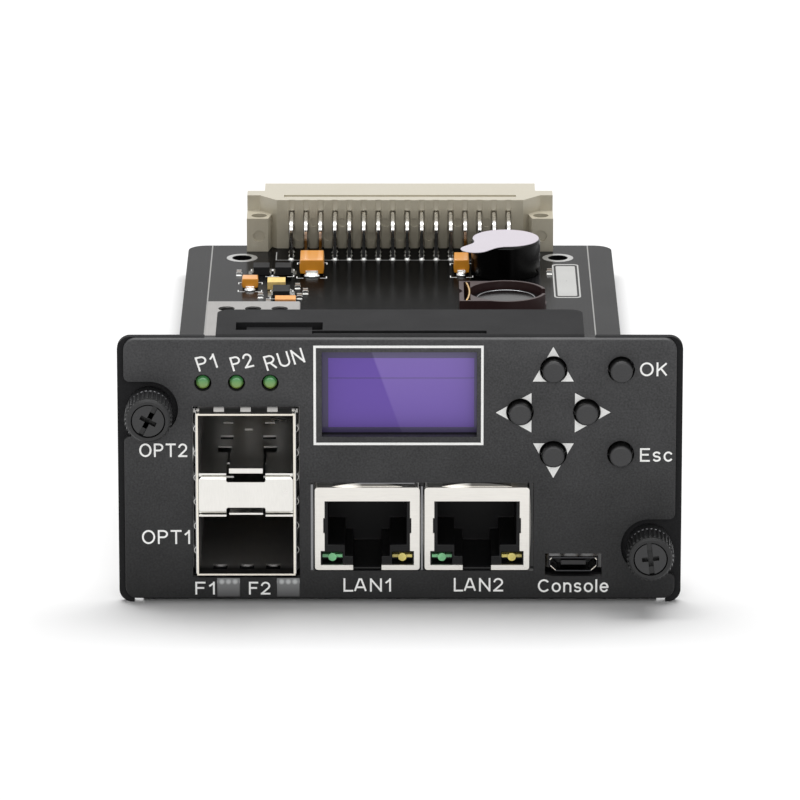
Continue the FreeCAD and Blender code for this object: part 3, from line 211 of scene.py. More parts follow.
def buildRolled():
    # a noise stretched along the rolling direction, with a soft cloud, shades the sheet and scratches it
    tree, given, sink = newGroup("rolledSheet", "Vector Stretch Colour Contrast", "Colour Height")
    place, stretch, colour, contrast = given
    line = noiseField(vectorField("MULTIPLY", {0: place, 1: stretch}), 1.0, rollMix["detail"])
    cloud = noiseField(place, rollMix["cloud"], rollMix["cloudDetail"])
    swing = (line + cloud * rollMix["cloudShare"] - rollMix["middle"]) * contrast
    feed(sink, {"Colour": scaledField(colour, swing + 1.0), "Height": line})
    return tree


def buildTraces():
    # bands along x or y, chosen by random cells, are the copper under the board's dark mask
    tree, (place, colour, lift), sink = newGroup("copperTraces", "Vector Colour Lift", "Colour Height")
    cells = placeNode("TexVoronoi", {"Vector": place, "Scale": copperBands["cells"]}).outputs["Color"]
    chance = Field(placeNode("SeparateColor", {0: Field(cells)}).outputs[0])
    across, along = [mathField("SINE", axis * (2 * math.pi / pitch)) > copperBands["level"]
                     for axis, pitch in zip(axisFields(place), copperBands["pitches"])]
    lines = across * (chance > copperBands["acrossFrom"]) + along * (chance < copperBands["alongTo"])
    feed(sink, {"Colour": scaledField(colour, lines * lift + 1.0), "Height": lines})
    return tree


def buildPaintedShade():
    # painted shade: colour times a factor that runs from dark to one as the place along an axis goes from
    # start over a span
    tree, given, sink = newGroup("slopedTone", "Vector Colour Axis Start Span Dark", "Colour")
    place, colour, axis, start, span, dark = given
    along = vectorField("DOT_PRODUCT", {0: place, 1: axis}, "Value")
    share = mathField("DIVIDE", along - start, span, clamp=True)
    feed(sink, {"Colour": scaledField(colour, share * (1.0 - dark) + dark)})
    return tree


grainGroup = buildGrain()
handlingGroup = buildHandling()
rolledGroup = buildRolled()
tracesGroup = buildTraces()
paintedShadeGroup = buildPaintedShade()

# Finishes, most of them named as the material slot that they dress

# painted shade: axis, start and span in metres along it, and the factor before the start
upAxis, downAxis, frontAxis, rearAxis = (0, 0, 1), (0, 0, -1), (0, -1, 0), (0, 1, 0)
# painted shade for the panel's parts: darker towards the bottom, full colour from 41 mm up
panelPaintedShade = (upAxis, 0.001, 0.04)
# a look's own values go before those of the base of its kind
coatBase = dict(rough=0.5, spec=0.5, coat=0.0, coatRough=0.2, grain=4200, contrast=0.2, bump=0.15)
coats = {
    "bracket_black": dict(colour=(36, 36, 37), rough=0.6, spec=0.06, contrast=0.7, bump=0.25),
    # the fascia's painted shade: darker towards its foot
    "fascia_black": dict(colour=(66, 66, 67), rough=0.4, spec=0.22, grain=3400, contrast=1.1, bump=0.2,
                         slope=(*panelPaintedShade, 0.28)),
    # the knobs' painted shade: the lower knob is darker
    "knob_black": dict(colour=(37, 37, 38), rough=0.38, spec=0.4, grain=7000, bump=0.12,
                       slope=(*panelPaintedShade, 0.3)),
    # the screws' painted shade: darker from 6.1 mm in front of the fascia backwards, in the drive recess and
    # behind the head
    "screw_black": dict(colour=(36, 36, 37), rough=0.36, grain=6500, bump=0.1,
                        slope=(frontAxis, -deep(-6.1), 0.0002, 0.12)),
    # the keys' painted shade: their sides darker from 1.4 mm in front of the fascia backwards
    "key_black": dict(colour=(52, 52, 53), rough=0.42, spec=0.4, contrast=0.6, bump=0.14,
                      slope=(frontAxis, -deep(-1.4), 0.0002, 0.12)),
    "carrier_black": dict(colour=(26, 26, 27), grain=4000, bump=0.2),
    "flex_amber": dict(colour=(150, 86, 30), rough=0.35, grain=2500, contrast=0.25, bump=0.1),
    "light_holder": dict(colour=(204, 204, 198), grain=3000, contrast=0.1, bump=0.1),
    "switch_black": dict(colour=(24, 24, 25), bump=0.2),
    "header_black": dict(colour=(22, 22, 23), rough=0.48, bump=0.2),
    "socket_black": dict(colour=(14, 14, 14), bump=0.2),
    "jack_black": dict(colour=(13, 13, 14), rough=0.42, spec=0.2),
    "tongue_black": dict(colour=(20, 20, 21), rough=0.45),
    "plug_grey": dict(colour=(184, 177, 158), rough=0.36, coat=0.3, grain=3600, contrast=0.08, bump=0.12),
    "buzzer_black": dict(colour=(4, 4, 4), rough=0.22, spec=0.14, grain=2600, bump=0.04),
    "label_white": dict(colour=(200, 194, 201), rough=0.6, spec=0.2, grain=2400, contrast=0.06, bump=0.05),
    "holder_brown": dict(colour=(54, 38, 38), rough=0.32, spec=0.2, grain=3200, bump=0.1),
    "tantalum_orange": dict(colour=(227, 149, 34), rough=0.34, spec=0.4, coat=0.8, grain=3600,
                            contrast=0.1, bump=0.12),
    "chip_black": dict(colour=(26, 26, 27), rough=0.55, spec=0.2, grain=5200, contrast=0.3, bump=0.3),
    "chip_part": dict(colour=(92, 74, 58), grain=3600, contrast=0.3),
    "display_cap": dict(colour=(24, 22, 34), rough=0.25, grain=2600, bump=0.05),
    "part_cream": dict(colour=(238, 204, 128), spec=0.3, grain=2600, contrast=0.5),
    "part_tan": dict(colour=(238, 166, 100), spec=0.3, grain=2600, contrast=0.5),
}
for ink, tone in (("ink_white", 246), ("ink_grey", 232), ("ink_plate", 186), ("ink_dim", 150)):
    coats[ink] = dict(colour=(tone, tone, tone - 2), rough=0.6, spec=0.3, grain=5200)
metalBase = dict(metal=1.0, stretch=(2200, 2200, 2200), contrast=0.2)
edgeStretch = (2200, 900, 2200)
metals = {
    "ferrule_steel": dict(colour=(104, 104, 106), rough=0.36, stretch=(900, 9000, 900), contrast=0.25),
    "ring_steel": dict(colour=(186, 186, 188), rough=0.3),
    "spacer_brass": dict(colour=(206, 172, 104), rough=0.32, stretch=(900, 9000, 900)),
    "small_screw_steel": dict(colour=(196, 196, 198), rough=0.3, stretch=(2600, 2600, 2600)),
    "switch_steel": dict(colour=(198, 198, 196), rough=0.34, stretch=(600, 7000, 7000)),
    "contact_gold": dict(colour=(226, 186, 106), rough=0.24, stretch=(4000, 500, 4000)),
    # the cage's painted shadow under the fascia: darker up to 1 mm behind the fascia's front, full colour
    # from 3 mm
    "cage_steel": dict(colour=(156, 154, 152), rough=0.5, stretch=(6000, 260, 900), contrast=0.18,
                       slope=(rearAxis, deep(1.0), 0.002, 0.2)),
    # the divider: a brighter copy of the cage steel, which is painted light, with painted shade from 1 mm
    # behind the fascia's front, darkest from 6 mm
    "divider_steel": dict(colour=(228, 226, 221), rough=0.3, stretch=(6000, 260, 900), contrast=0.12,
                          slope=(frontAxis, -deep(6.0), 0.005, 0.8)),
    # the gasket's painted shade: its fingers darker from 30 mm up, darkest above 31.2 mm
    "gasket_spring": dict(colour=(214, 212, 209), rough=0.28, stretch=(5000, 500, 1500), contrast=0.22,
                          slope=(downAxis, -0.0312, 0.0012, 0.3)),
    # the jack shields' painted shade: darker from 0.7 mm behind the fascia's front, darkest from 1.3 mm
    "jack_tin": dict(colour=(224, 221, 215), rough=0.32, stretch=(500, 900, 7000), contrast=0.14,
                     slope=(frontAxis, -deep(1.3), 0.0006, 0.36)),
    "console_steel": dict(colour=(20, 20, 21), rough=0.2, stretch=(3000, 900, 3000), contrast=0.25),
    # the pins' painted dark reflection: their legs darker below 10.8 mm, darkest under 9.6 mm
    "plug_pin": dict(colour=(236, 234, 230), rough=0.16, stretch=(5000, 700, 700),
                     slope=(upAxis, 0.0096, 0.0012, 0.22)),
    # the coin cell's steel is near black: a painted dark reflection
    "cell_steel": dict(colour=(34, 33, 33), rough=0.16, stretch=(2400, 2400, 900), contrast=0.4),
    "clip_gold": dict(colour=(222, 182, 116), rough=0.25, stretch=(600, 5000, 5000)),
    "terminal_tin": dict(colour=(226, 224, 220), rough=0.3, stretch=(2600, 2600, 2600), contrast=0.25),
    # these metals dress thin strips that are painted highlights along cut edges and rims
    "dull_edge": dict(colour=(132, 132, 134), rough=0.24, stretch=edgeStretch),
    "bright_edge": dict(colour=(232, 226, 214), rough=0.26, stretch=edgeStretch, contrast=0.15),
    "dark_edge": dict(colour=(78, 78, 80), rough=0.24, stretch=edgeStretch),
    "solder": dict(colour=(222, 222, 220), rough=0.22),
    "pad_tin": dict(colour=(186, 186, 185), rough=0.4, contrast=0.3),
}
# wear: how far handling varies the roughness; bump and depth: strength and height in metres of the relief
relief = dict(coat=dict(wear=0.16, depth=0.00003), metal=dict(wear=0.14, bump=0.08, depth=0.00002),
              board=dict(wear=0.1, bump=0.04, depth=0.00002), frost=dict(bump=0.2, depth=0.00002))
# the shader's input for each plain value of a look
shaderInputs = dict(paper="Base Color", metal="Metallic", rough="Roughness", spec="Specular IOR Level",
                    tint="Specular Tint", coat="Coat Weight", coatRough="Coat Roughness")


def newMaterial(name, look):
    # a fresh material with the look's plain values, the inputs of its shader, and the place on the object
    material = bpy.data.materials.new(name)
    material.use_nodes = True
    nodes = material.node_tree.nodes
    entries = nodes["Principled BSDF"].inputs
    feed(entries, {label: look[key] for key, label in shaderInputs.items() if key in look})
    return material, entries, Field(nodes.new("ShaderNodeTexCoord").outputs["Object"])


def useGroup(group, **values):
    # a shared effect placed with its inputs fed by name, and its outputs as fields
    return {socket.name: Field(socket) for socket in placeNode("Group", values, node_tree=group).outputs}


def addBump(entries, height, bump, depth):
    # the normal leans with the slope of the height
    node = placeNode("Bump", {"Strength": bump, "Distance": depth, "Height": height})
    feed(entries, {"Normal": Field(node.outputs["Normal"])})


def dressShader(entries, place, colour, rough, height, wear, bump, depth):
    # the colour as it is, the roughness as handling leaves it, and the height as relief
    worn = useGroup(handlingGroup, Vector=place, Rough=rough, Amount=wear)
    feed(entries, {"Base Color": colour, "Roughness": worn["Rough"]})
    addBump(entries, height, bump, depth)


def withPaintedShade(place, colour, look):
    # the colour itself, or the colour run through the painted shade that the look asks for
    if "slope" not in look:
        return colour
    slope = dict(zip(("Axis", "Start", "Span", "Dark"), look["slope"]))
    return useGroup(paintedShadeGroup, Vector=place, Colour=colour, **slope)["Colour"]


def coatFinish(name, look):
    # the grain shades the colour and lifts the surface
    look = {**coatBase, **look}
    material, entries, place = newMaterial(name, look)
    grain = useGroup(grainGroup, Vector=place, Colour=srgb(*look["colour"]), Scale=look["grain"],
                     Contrast=look["contrast"])
    dressShader(entries, place, withPaintedShade(place, grain["Colour"], look), look["rough"], grain["Height"],
                bump=look["bump"], **relief["coat"])
    return material


def metalFinish(name, look):
    # the rolled sheet shades the colour and scratches the surface
    look = {**metalBase, **look}
    material, entries, place = newMaterial(name, look)
    sheet = useGroup(rolledGroup, Vector=place, Stretch=look["stretch"], Colour=srgb(*look["colour"]),
                     Contrast=look["contrast"])
    dressShader(entries, place, withPaintedShade(place, sheet["Colour"], look), look["rough"], sheet["Height"],
                **relief["metal"])
    return material


# the share by which the board's middle is darkened is a painted dark reflection
boardLook = dict(colour=(15, 15, 16), rough=0.2, spec=0.05, tint=(0, 0, 0, 1), copper=0.8, reach=0.0235,
                 fade=0.004, dull=0.6, shade=0.7)


def boardFinish(name, look):
    # dark mask over faint copper; inside the reach of the middle line it grows duller and darker by a share,
    # a painted dark reflection
    material, entries, place = newMaterial(name, look)
    aside = mathField("ABSOLUTE", axisFields(place)[0])
    paintedReflectionMask = mathField("DIVIDE", look["reach"] - aside, look["fade"], clamp=True)
    feed(entries, {"Metallic": paintedReflectionMask * look["dull"]})
    lines = useGroup(tracesGroup, Vector=place, Colour=srgb(*look["colour"]), Lift=look["copper"])
    colour = scaledField(lines["Colour"], 1.0 - paintedReflectionMask * look["shade"])
    dressShader(entries, place, colour, look["rough"], lines["Height"], **relief["board"])
    return material


# lenses: the node, tones at foot and top, the count, radius in metres, and how far the tone falls to the rim;
# bright and the fall paint light on each lens
lensBase = dict(count=2, rim=0.0016, fall=-0.5, bright=1.2, rampEnd=0.7, rough=0.18, coat=0.4, coatRough=0.08)
lenses = {
    "status_green": dict(node="status_lights", low=(136, 150, 70), high=(74, 142, 82), count=3, rim=0.0013,
                         fall=0.6),
    "jack_green": dict(node="jack_green_lights", low=(84, 158, 104), high=(108, 172, 122)),
    "jack_amber": dict(node="jack_amber_lights", low=(180, 164, 76), high=(196, 182, 100)),
}


def lensFinish(name, look):
    # a tone from low to high up each lens, times bright less the fall by the squared distance from its
    # centre: painted light, brightest at the middle of the status lights and towards the rims of the jack
    # lights
    look = {**lensBase, **look}
    material, entries, place = newMaterial(name, look)
    low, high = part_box(look["node"])
    radius, height = (high.z - low.z) / 2, (low.z + high.z) / 2
    x, y, z = axisFields(place)
    nearest = None
    for middle in np.linspace(low.x + radius, high.x - radius, look["count"]).tolist():
        gap = lengthField(x - middle, z - height)
        nearest = mathField("MINIMUM", nearest, gap) if nearest else gap
    share = nearest / look["rim"]
    rise = (z - (height - look["rim"])) / (2 * look["rim"])
    tone = rampField(rise, look["low"], look["high"], look["rampEnd"])
    feed(entries, {"Base Color": scaledField(tone, look["bright"] - share * share * look["fall"])})
    return material


windowLow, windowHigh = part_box("port_light_windows")
# the fade is the painted shade up the window, and the glow is the painted light of each spot
windowLook = dict(dark=(74, 74, 75), light=(188, 190, 190), rough=0.4, middle=-0.02595, pitch=0.00905 / 9,
                  spot=0.0005, drop=0.0006, fade=0.4, paintedGlow=1.1, frost=5000.0, frostDetail=2.0)


def windowFinish(name, look):
    # frosted window, lighter towards its top by painted shade, with three soft spots of painted glow where
    # the lamps behind it sit
    material, entries, place = newMaterial(name, look)
    x, y, z = axisFields(place)
    gap = lengthField(wrappedField(x - look["middle"], look["pitch"]), z - (windowHigh.z - look["drop"]))
    spot = mathField("MAXIMUM", 1.0 - gap / look["spot"], 0.0)
    fade = (z - windowLow.z) / (windowHigh.z - windowLow.z)
    level = fade * look["fade"] + spot * look["paintedGlow"]
    feed(entries, {"Base Color": rampField(level, look["dark"], look["light"])})
    addBump(entries, noiseField(place, look["frost"], look["frostDetail"]), **relief["frost"])
    return material


# panes: tones beside a slanted edge, a painted reflection, the top in metres, the edge's place and lean, and
# the fade's height
paneBase = dict(lean=0.36, soft=0.0003, rise=0.6, base=0.3, spec=0.3, coat=0.15, coatRough=0.03)
panes = {
    "display_glass": dict(dark=(78, 70, 106), light=(104, 97, 132), rough=0.16, top=0.0397, edge=-0.0047,
                          fall=0.016),
    "lit_field": dict(dark=(103, 76, 168), light=(131, 108, 185), rough=0.34, top=0.0380, edge=-0.0041,
                      fall=0.0112),
}


def paintedReflectionFinish(name, look):
    # painted reflection: a slanted edge splits a deeper tone from a lighter one that brightens upwards
    look = {**paneBase, **look}
    material, entries, place = newMaterial(name, look)
    x, y, z = axisFields(place)
    drop = look["top"] - z
    past = x - (drop * look["lean"] + look["edge"])
    step = mathField("DIVIDE", past, look["soft"], clamp=True)
    level = step * ((1.0 - drop / look["fall"]) * look["rise"] + look["base"])
    feed(entries, {"Base Color": rampField(level, look["dark"], look["light"])})
    return material


# painted highlight and shade on the sprung bow over each jack: it is darkened but for one spot; its height,
# the spot's offset and half width
jackBowHighlight = dict(height=0.52, offset=-3.2, half=2.4, dark=0.16)


def paintBowHighlight(material, look):
    # painted highlight: over the jack's top the colour falls to a dark share with the squared distance from
    # the nearest spot
    nodes = material.node_tree.nodes
    entry = nodes["Principled BSDF"].inputs["Base Color"]
    tone = Field(entry.links[0].from_socket)
    x, y, z = axisFields(Field(nodes["Texture Coordinate"].outputs["Object"]))
    low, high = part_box("left_jack_shield")
    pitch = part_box("right_jack_shield")[0].x - low.x
    spot = (low.x + high.x) / 2 + look["offset"] * mm
    share = wrappedField(x - spot, pitch) / (look["half"] * mm)
    highlightBell = mathField("MAXIMUM", 1.0 - share * share, 0.0)
    over = z > high.z - look["height"] * mm
    paintedBowShade = over * ((1.0 - highlightBell) * (1 - look["dark"]))
    feed([entry], {0: scaledField(tone, 1.0 - paintedBowShade)})


materials = {}
finishMakers = ((coatFinish, coats), (metalFinish, metals), (lensFinish, lenses), (paintedReflectionFinish, panes))
for makeFinish, looks in finishMakers:
    materials.update({name: makeFinish(name, look) for name, look in looks.items()})
materials["board_black"] = boardFinish("board_black", boardLook)
materials["frosted_window"] = windowFinish("frosted_window", windowLook)
paintBowHighlight(materials["jack_tin"], jackBowHighlight)
print("finishes:", len(materials))

# Dressed copies of the solids

# width of the soft edge in millimetres, and the solids that are copied with it
softEdges = {
    0.02: "buzzer_label",
    0.03: "cage_gasket",
    0.05: "display_board switch_covers cage_divider jack_contacts left_captive_screw right_captive_screw",
    0.06: "status_light_holders link_header_pins main_board cage_shell console_shell console_tongue "
          "cell_clip tantalum_terminals chip_components left_knob right_knob",
    0.07: "backplane_pins",
    0.08: "port_light_windows display_glass jack_green_lights jack_amber_lights memory_chips small_chips "
          "left_jack_shield right_jack_shield left_retaining_ring right_retaining_ring",
    0.1: "front_fascia display_board_spacers display_board_screws display_carrier switch_bases "
         "main_board_screws backplane_screws coin_cell processor left_jack_insert right_jack_insert "
         "up_button down_button left_button right_button ok_button escape_button",
    0.12: "front_bracket screw_ferrules status_lights link_header main_board_posts backplane_housing "
          "buzzer_case cell_holder",
    0.14: "tantalum_capacitors",
    0.15: "cage_connector",
}
edgeOf = {name: width for width, names in softEdges.items() for name in names.split()}
# the divider gets a brighter copy of the cage's steel: painted light
paintedLightCopy = {"cage_divider": "divider_steel"}  # solids whose look differs from the rest of their slot
# merge in metres; flat, sharp and bevel are angles between faces
softLook = dict(merge=2e-6, flat=math.radians(0.4), sharp=math.radians(32), bevel=math.radians(40),
                segments=2)


def dressNode(name, edge):
    # a copy of the solid's triangles, merged and with its edges rounded by the width, stands for the solid
    shell = bmesh.new()
    shell.from_mesh(frame["nodes"][name].data)
    bmesh.ops.remove_doubles(shell, verts=shell.verts, dist=softLook["merge"])
    bmesh.ops.dissolve_limit(shell, angle_limit=softLook["flat"], verts=shell.verts, edges=shell.edges)
    mesh = bpy.data.meshes.new(name + "_skin")
    shell.to_mesh(mesh)
    shell.free()
    if "custom_normal" in mesh.attributes:
        mesh.attributes.remove(mesh.attributes["custom_normal"])
    mesh.polygons.foreach_set("use_smooth", np.ones(len(mesh.polygons), bool))
    mesh.set_sharp_from_angle(angle=softLook["sharp"])
    mesh.materials.clear()
    mesh.materials.append(materials[paintedLightCopy.get(name, slotOf[name])])
    piece = bpy.data.objects.new(name + "_skin", mesh)
    scene.collection.objects.link(piece)
    soft = piece.modifiers.new("softEdge", "BEVEL")
    soft.width = edge * mm
    soft.segments = softLook["segments"]
    soft.limit_method = "ANGLE"
    soft.angle_limit = softLook["bevel"]
    even = piece.modifiers.new("evenShade", "WEIGHTED_NORMAL")
    even.keep_sharp = True
    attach(piece, bodyOf[name])
    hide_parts(name)


for name, node in frame["nodes"].items():
    node.data.materials.clear()
    node.data.materials.append(materials[slotOf[name]])
    if name in edgeOf:
        dressNode(name, edgeOf[name])
print("dressed solids:", len(edgeOf))

# New surfaces, worked out in millimetres: x, depth behind the fascia's front, and z


def addPiece(name, surface, finish, body="card", smooth=False):
    # points and faces as one mesh, its depths moved from the fascia's front into the frame
    points, faces = surface
    mesh = bpy.data.meshes.new(name)
    mesh.from_pydata((points * mm + (0, frontY, 0)).tolist(), [], faces.tolist())
    mesh.polygons.foreach_set("use_smooth", np.full(len(mesh.polygons), smooth))
    mesh.materials.append(materials[finish])
    mesh.update()
    piece = bpy.data.objects.new(name, mesh)
    scene.collection.objects.link(piece)
    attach(piece, body)


def gridFaces(rows, columns, loop=False):
    # quads between neighbours in a grid of closed rows; in a loop the last row also joins the first
    row, column = np.meshgrid(np.arange(rows if loop else rows - 1), np.arange(columns), indexing="ij")
    here, there, turn = row * columns, (row + 1) % rows * columns, (column + 1) % columns
    return np.stack((here + column, here + turn, there + turn, there + column), -1).reshape(-1, 4)


def joinArrays(parts):
    # all points in one list, with each part's faces moved on by the points before it
    starts = np.cumsum([0] + [len(points) for points, faces in parts[:-1]])
    faces = [faces + start for (points, faces), start in zip(parts, starts)]
    return np.concatenate([points for points, faces in parts]), np.concatenate(faces)


def boxArray(boxes):
    # each row is two values of x, of depth and of z; eight corners and six faces for each row
    rows = np.asarray(boxes, float)
    corners = np.array([(x, y, z) for z in (4, 5) for x, y in ((0, 2), (1, 2), (1, 3), (0, 3))])
    sides = np.array([(3, 2, 1, 0), (4, 5, 6, 7), (0, 1, 5, 4), (1, 2, 6, 5), (2, 3, 7, 6), (3, 0, 4, 7)])
    starts = np.arange(len(rows))[:, None, None] * len(corners)
    return rows[:, corners].reshape(-1, 3), (starts + sides).reshape(-1, 4)


def turnArray(centres, profile, segments, stretch=(1.0, 1.0)):
    # a closed profile of radius and height, up its outside and down its inside, turned about upright axes
    radius, height = np.asarray(profile, float).T[:, :, None, None]
    angle = np.arange(segments) * 2 * np.pi / segments
    circle = np.stack((np.cos(angle) * stretch[0], np.sin(angle) * stretch[1], 0 * angle), -1)
    points = np.asarray(centres, float)[:, None, None] + radius * circle + height * np.array((0, 0, 1))
    starts = np.arange(len(centres))[:, None, None] * len(profile) * segments
    faces = starts + gridFaces(len(profile), segments, loop=True)
    return points.reshape(-1, 3), faces.reshape(-1, 4)


tiny = 1e-9  # stands for nought where a ray never meets a side


def ringPlate(centre, inner, outline, thick, rays=360):
    # rays from the centre run from a circle to the convex outline round it, where that lies past the circle
    corners = np.asarray(outline, float) - centre
    turn = np.linspace(-np.pi, np.pi, rays, endpoint=False)
    angle = np.sort(np.concatenate((turn, np.arctan2(*corners.T[::-1]))))
    ray = np.stack((np.cos(angle), np.sin(angle)), -1)
    side = np.roll(corners, -1, 0) - corners
    normal = np.stack((side[:, 1], -side[:, 0]), -1)
    normal *= np.sign((corners * normal).sum(1))[:, None]
    reach = (corners * normal).sum(1) / np.maximum(ray @ normal.T, tiny)
    outer = np.maximum(reach.min(1), inner)
    rings = [np.insert(centre + ray * np.reshape(radius, (-1, 1)), 1, depth, axis=1)
             for radius, depth in ((outer, -thick), (inner, -thick), (inner, thick), (outer, thick))]
    keep = (outer > inner) | (np.roll(outer, -1) > inner)
    faces = gridFaces(4, len(angle), loop=True).reshape(4, -1, 4)[:, keep]
    return np.concatenate(rings), faces.reshape(-1, 4)


# words printed on the fascia: left, right, low and high edge in millimetres, and the slant in degrees
legends = {
    "P1": (-30.78, -27.31, 36.62, 39.41, 15.0), "P2": (-25.60, -21.87, 36.66, 39.41, 15.0),
    "RUN": (-20.55, -14.19, 36.73, 40.30, 15.0), "OPT2": (-39.24, -32.01, 23.23, 25.35),
    "OPT1": (-38.97, -31.70, 9.51, 11.72), "F1": (-30.97, -28.02, 1.50, 3.53),
    "F2": (-22.86, -19.61, 1.50, 3.53), "LAN1": (-8.55, -1.36, 1.96, 4.07),
    "LAN2": (8.14, 15.61, 1.99, 4.12), "Console": (20.86, 31.55, 1.87, 3.92),
    "OK": (35.99, 40.04, 35.88, 38.04), "Esc": (36.12, 40.94, 22.49, 24.61),
}
inkThick = 0.012  # before the face, and as much into it
mitreLeast = 0.5  # keeps the points of sharp corners short
# tight: pairs that stand closer; layers: a letter's strokes lie at different heights where they cross
letterLook = dict(gap=0.31, stroke=0.28, tight={"LA": 0.16}, layers=3)


def arcRun(x, z, across, up, start, end, count=16):
    # points round an ellipse between two angles in degrees
    angle = np.radians(np.linspace(start, end, count))
    return np.stack((x + across * np.cos(angle), z + up * np.sin(angle)), -1).tolist()


# each letter as its width and the centre lines of its strokes, for capitals one unit high
bowl = [(0, 1), *arcRun(0.3, 0.74, 0.27, 0.26, 90, -90), (0, 0.48)]
letters = {
    "A": (0.72, ([(0.03, 0.05), (0.3, 1), (0.42, 1), (0.69, 0.05)], [(0.16, 0.3), (0.56, 0.3)])),
    "C": (0.7, (arcRun(0.38, 0.5, 0.38, 0.5, 48, 312, 28),)),
    "E": (0.54, ([(0.54, 1), (0, 1), (0, 0), (0.54, 0)], [(0.08, 0.52), (0.46, 0.52)])),
    "F": (0.52, ([(0, 0), (0, 1), (0.52, 1)], [(0.08, 0.52), (0.44, 0.52)])),
    "K": (0.6, ([(0, 0), (0, 1)], [(0.55, 0.95), (0.06, 0.42)], [(0.22, 0.58), (0.56, 0.05)])),
    "L": (0.5, ([(0, 1), (0, 0), (0.5, 0)],)),
    "N": (0.64, ([(0, 0), (0, 1)], [(0.04, 0.94), (0.6, 0.06)], [(0.64, 0), (0.64, 1)])),
    "O": (0.78, (arcRun(0.39, 0.5, 0.39, 0.5, 0, 360, 33),)),
    "P": (0.57, ([(0, 0), (0, 1)], bowl)),
    "R": (0.6, ([(0, 0), (0, 1)], bowl, [(0.3, 0.46), (0.57, 0.05)])),
    "T": (0.62, ([(0, 1), (0.62, 1)], [(0.31, 0.92), (0.31, 0)])),
    "U": (0.62, ([(0, 1), *arcRun(0.31, 0.31, 0.31, 0.31, 180, 360), (0.62, 1)],)),
    "c": (0.48, (arcRun(0.26, 0.36, 0.26, 0.36, 45, 315, 24),)),
    "e": (0.52, ([(0.04, 0.37), (0.48, 0.37)], arcRun(0.26, 0.36, 0.26, 0.36, 6, 318, 26))),
    "l": (0.0, ([(0, 0), (0, 1)],)),
    "n": (0.46, ([(0, 0), (0, 0.72)], [*arcRun(0.23, 0.46, 0.23, 0.26, 180, 0), (0.46, 0)])),
    "o": (0.54, (arcRun(0.27, 0.36, 0.27, 0.36, 0, 360, 29),)),
    "s": (0.42, (arcRun(0.21, 0.54, 0.2, 0.18, 35, 270, 14) + arcRun(0.21, 0.18, 0.21, 0.18, 80, -145, 14),)),
    "1": (0.27, ([(0.27, 0), (0.27, 1)], [(0.03, 0.72), (0.24, 0.93)])),
    "2": (0.54, ([*arcRun(0.27, 0.71, 0.26, 0.29, 165, -38), (0.05, 0.05)], [(0, 0), (0.54, 0)])),
}


def strokeArray(path, width, rise, plane=0.0):
    # a flat bar along a path: each point moves half a width to both sides along the mitre of its two runs
    path = np.asarray(path, float)
    run = np.diff(path, axis=0)
    run /= np.linalg.norm(run, axis=1)[:, None]
    closed = np.allclose(path[0], path[-1])
    if not closed:
        path[0] -= run[0] * width / 2
        path[-1] += run[-1] * width / 2
    before = np.vstack((run[-1:] if closed else run[:1], run))
    after = np.vstack((run, run[:1] if closed else run[-1:]))
    mitre = before + after
    mitre /= np.linalg.norm(mitre, axis=1)[:, None]
    reach = width / 2 / np.maximum((mitre * after).sum(1), mitreLeast)
    side = np.stack((-mitre[:, 1], mitre[:, 0]), -1) * reach[:, None]
    ring = np.stack((path + side, path - side, path - side, path + side), 1)
    depth = np.broadcast_to(plane + np.array((-rise, -rise, inkThick, inkThick)), ring.shape[:2])
    points = np.stack((ring[..., 0], depth, ring[..., 1]), -1).reshape(-1, 3)
    faces = gridFaces(len(path), 4)
    if not closed:
        last = len(points) - 4
        faces = np.vstack((faces, (0, 3, 2, 1), (last, last + 1, last + 2, last + 3)))
    return points, faces


def legendArray(text, left, right, low, high, slant=0.0):
    # letters side by side, turned by the slant, with centre lines stretched to half a stroke inside the edges
    gaps = [letterLook["gap"] - letterLook["tight"].get(text[i:i + 2], 0.0) for i in range(len(text))]
    starts = np.cumsum([0.0] + [letters[letter][0] + gap for letter, gap in zip(text, gaps)])
    lean = math.radians(slant)
    turn = np.array([(math.cos(lean), math.sin(lean)), (-math.sin(lean), math.cos(lean))])
    runs = [(start, step, run) for start, letter in zip(starts, text)
            for step, run in enumerate(letters[letter][1])]
    paths = [(np.asarray(run, float) + (start, 0)) @ turn for start, step, run in runs]
    rises = [inkThick * (1 + step / letterLook["layers"]) for start, step, run in runs]
    spread = np.concatenate(paths)
    half = letterLook["stroke"] / 2
    factor = (np.array((right - left, high - low)) - 2 * half) / np.ptp(spread, axis=0)
    foot = (left + half, low + half)
    return joinArrays([strokeArray((path - spread.min(0)) * factor + foot, 2 * half, rise)
                       for path, rise in zip(paths, rises)])


words = joinArrays([legendArray(text, *edges) for text, edges in legends.items()])
addPiece("panelLegends", words, "ink_white")

# direction marks round the keys: middle of the key, then the triangle's corners
arrows = {
    "up": ((23.05, 36.9), ((22.98, 40.45), (19.92, 35.05), (26.08, 35.05))),
    "down": ((23.05, 23.7), ((23.08, 19.94), (26.13, 25.38), (20.02, 25.38))),
    "left": ((18.05, 30.3), ((14.39, 30.19), (19.75, 33.26), (19.75, 27.09))),
    "right": ((28.05, 30.3), ((31.64, 30.24), (26.28, 33.26), (26.28, 27.09))),
}
keyHole = 2.12  # radius left clear round each key
marks = [ringPlate(middle, keyHole, corners, inkThick) for middle, corners in arrows.values()]
addPiece("keyArrows", joinArrays(marks), "ink_grey")

# white line round the display window, and a painted highlight along the cut edge round the mouth of the cage
displayLine = dict(left=-13.0, right=12.55, low=25.1, high=40.65, width=0.38, depths=(-inkThick, inkThick))
cageMouthHighlight = dict(left=-30.62, right=-15.78, low=5.02, high=30.42, width=0.26, depths=(-1.54, -1.3))


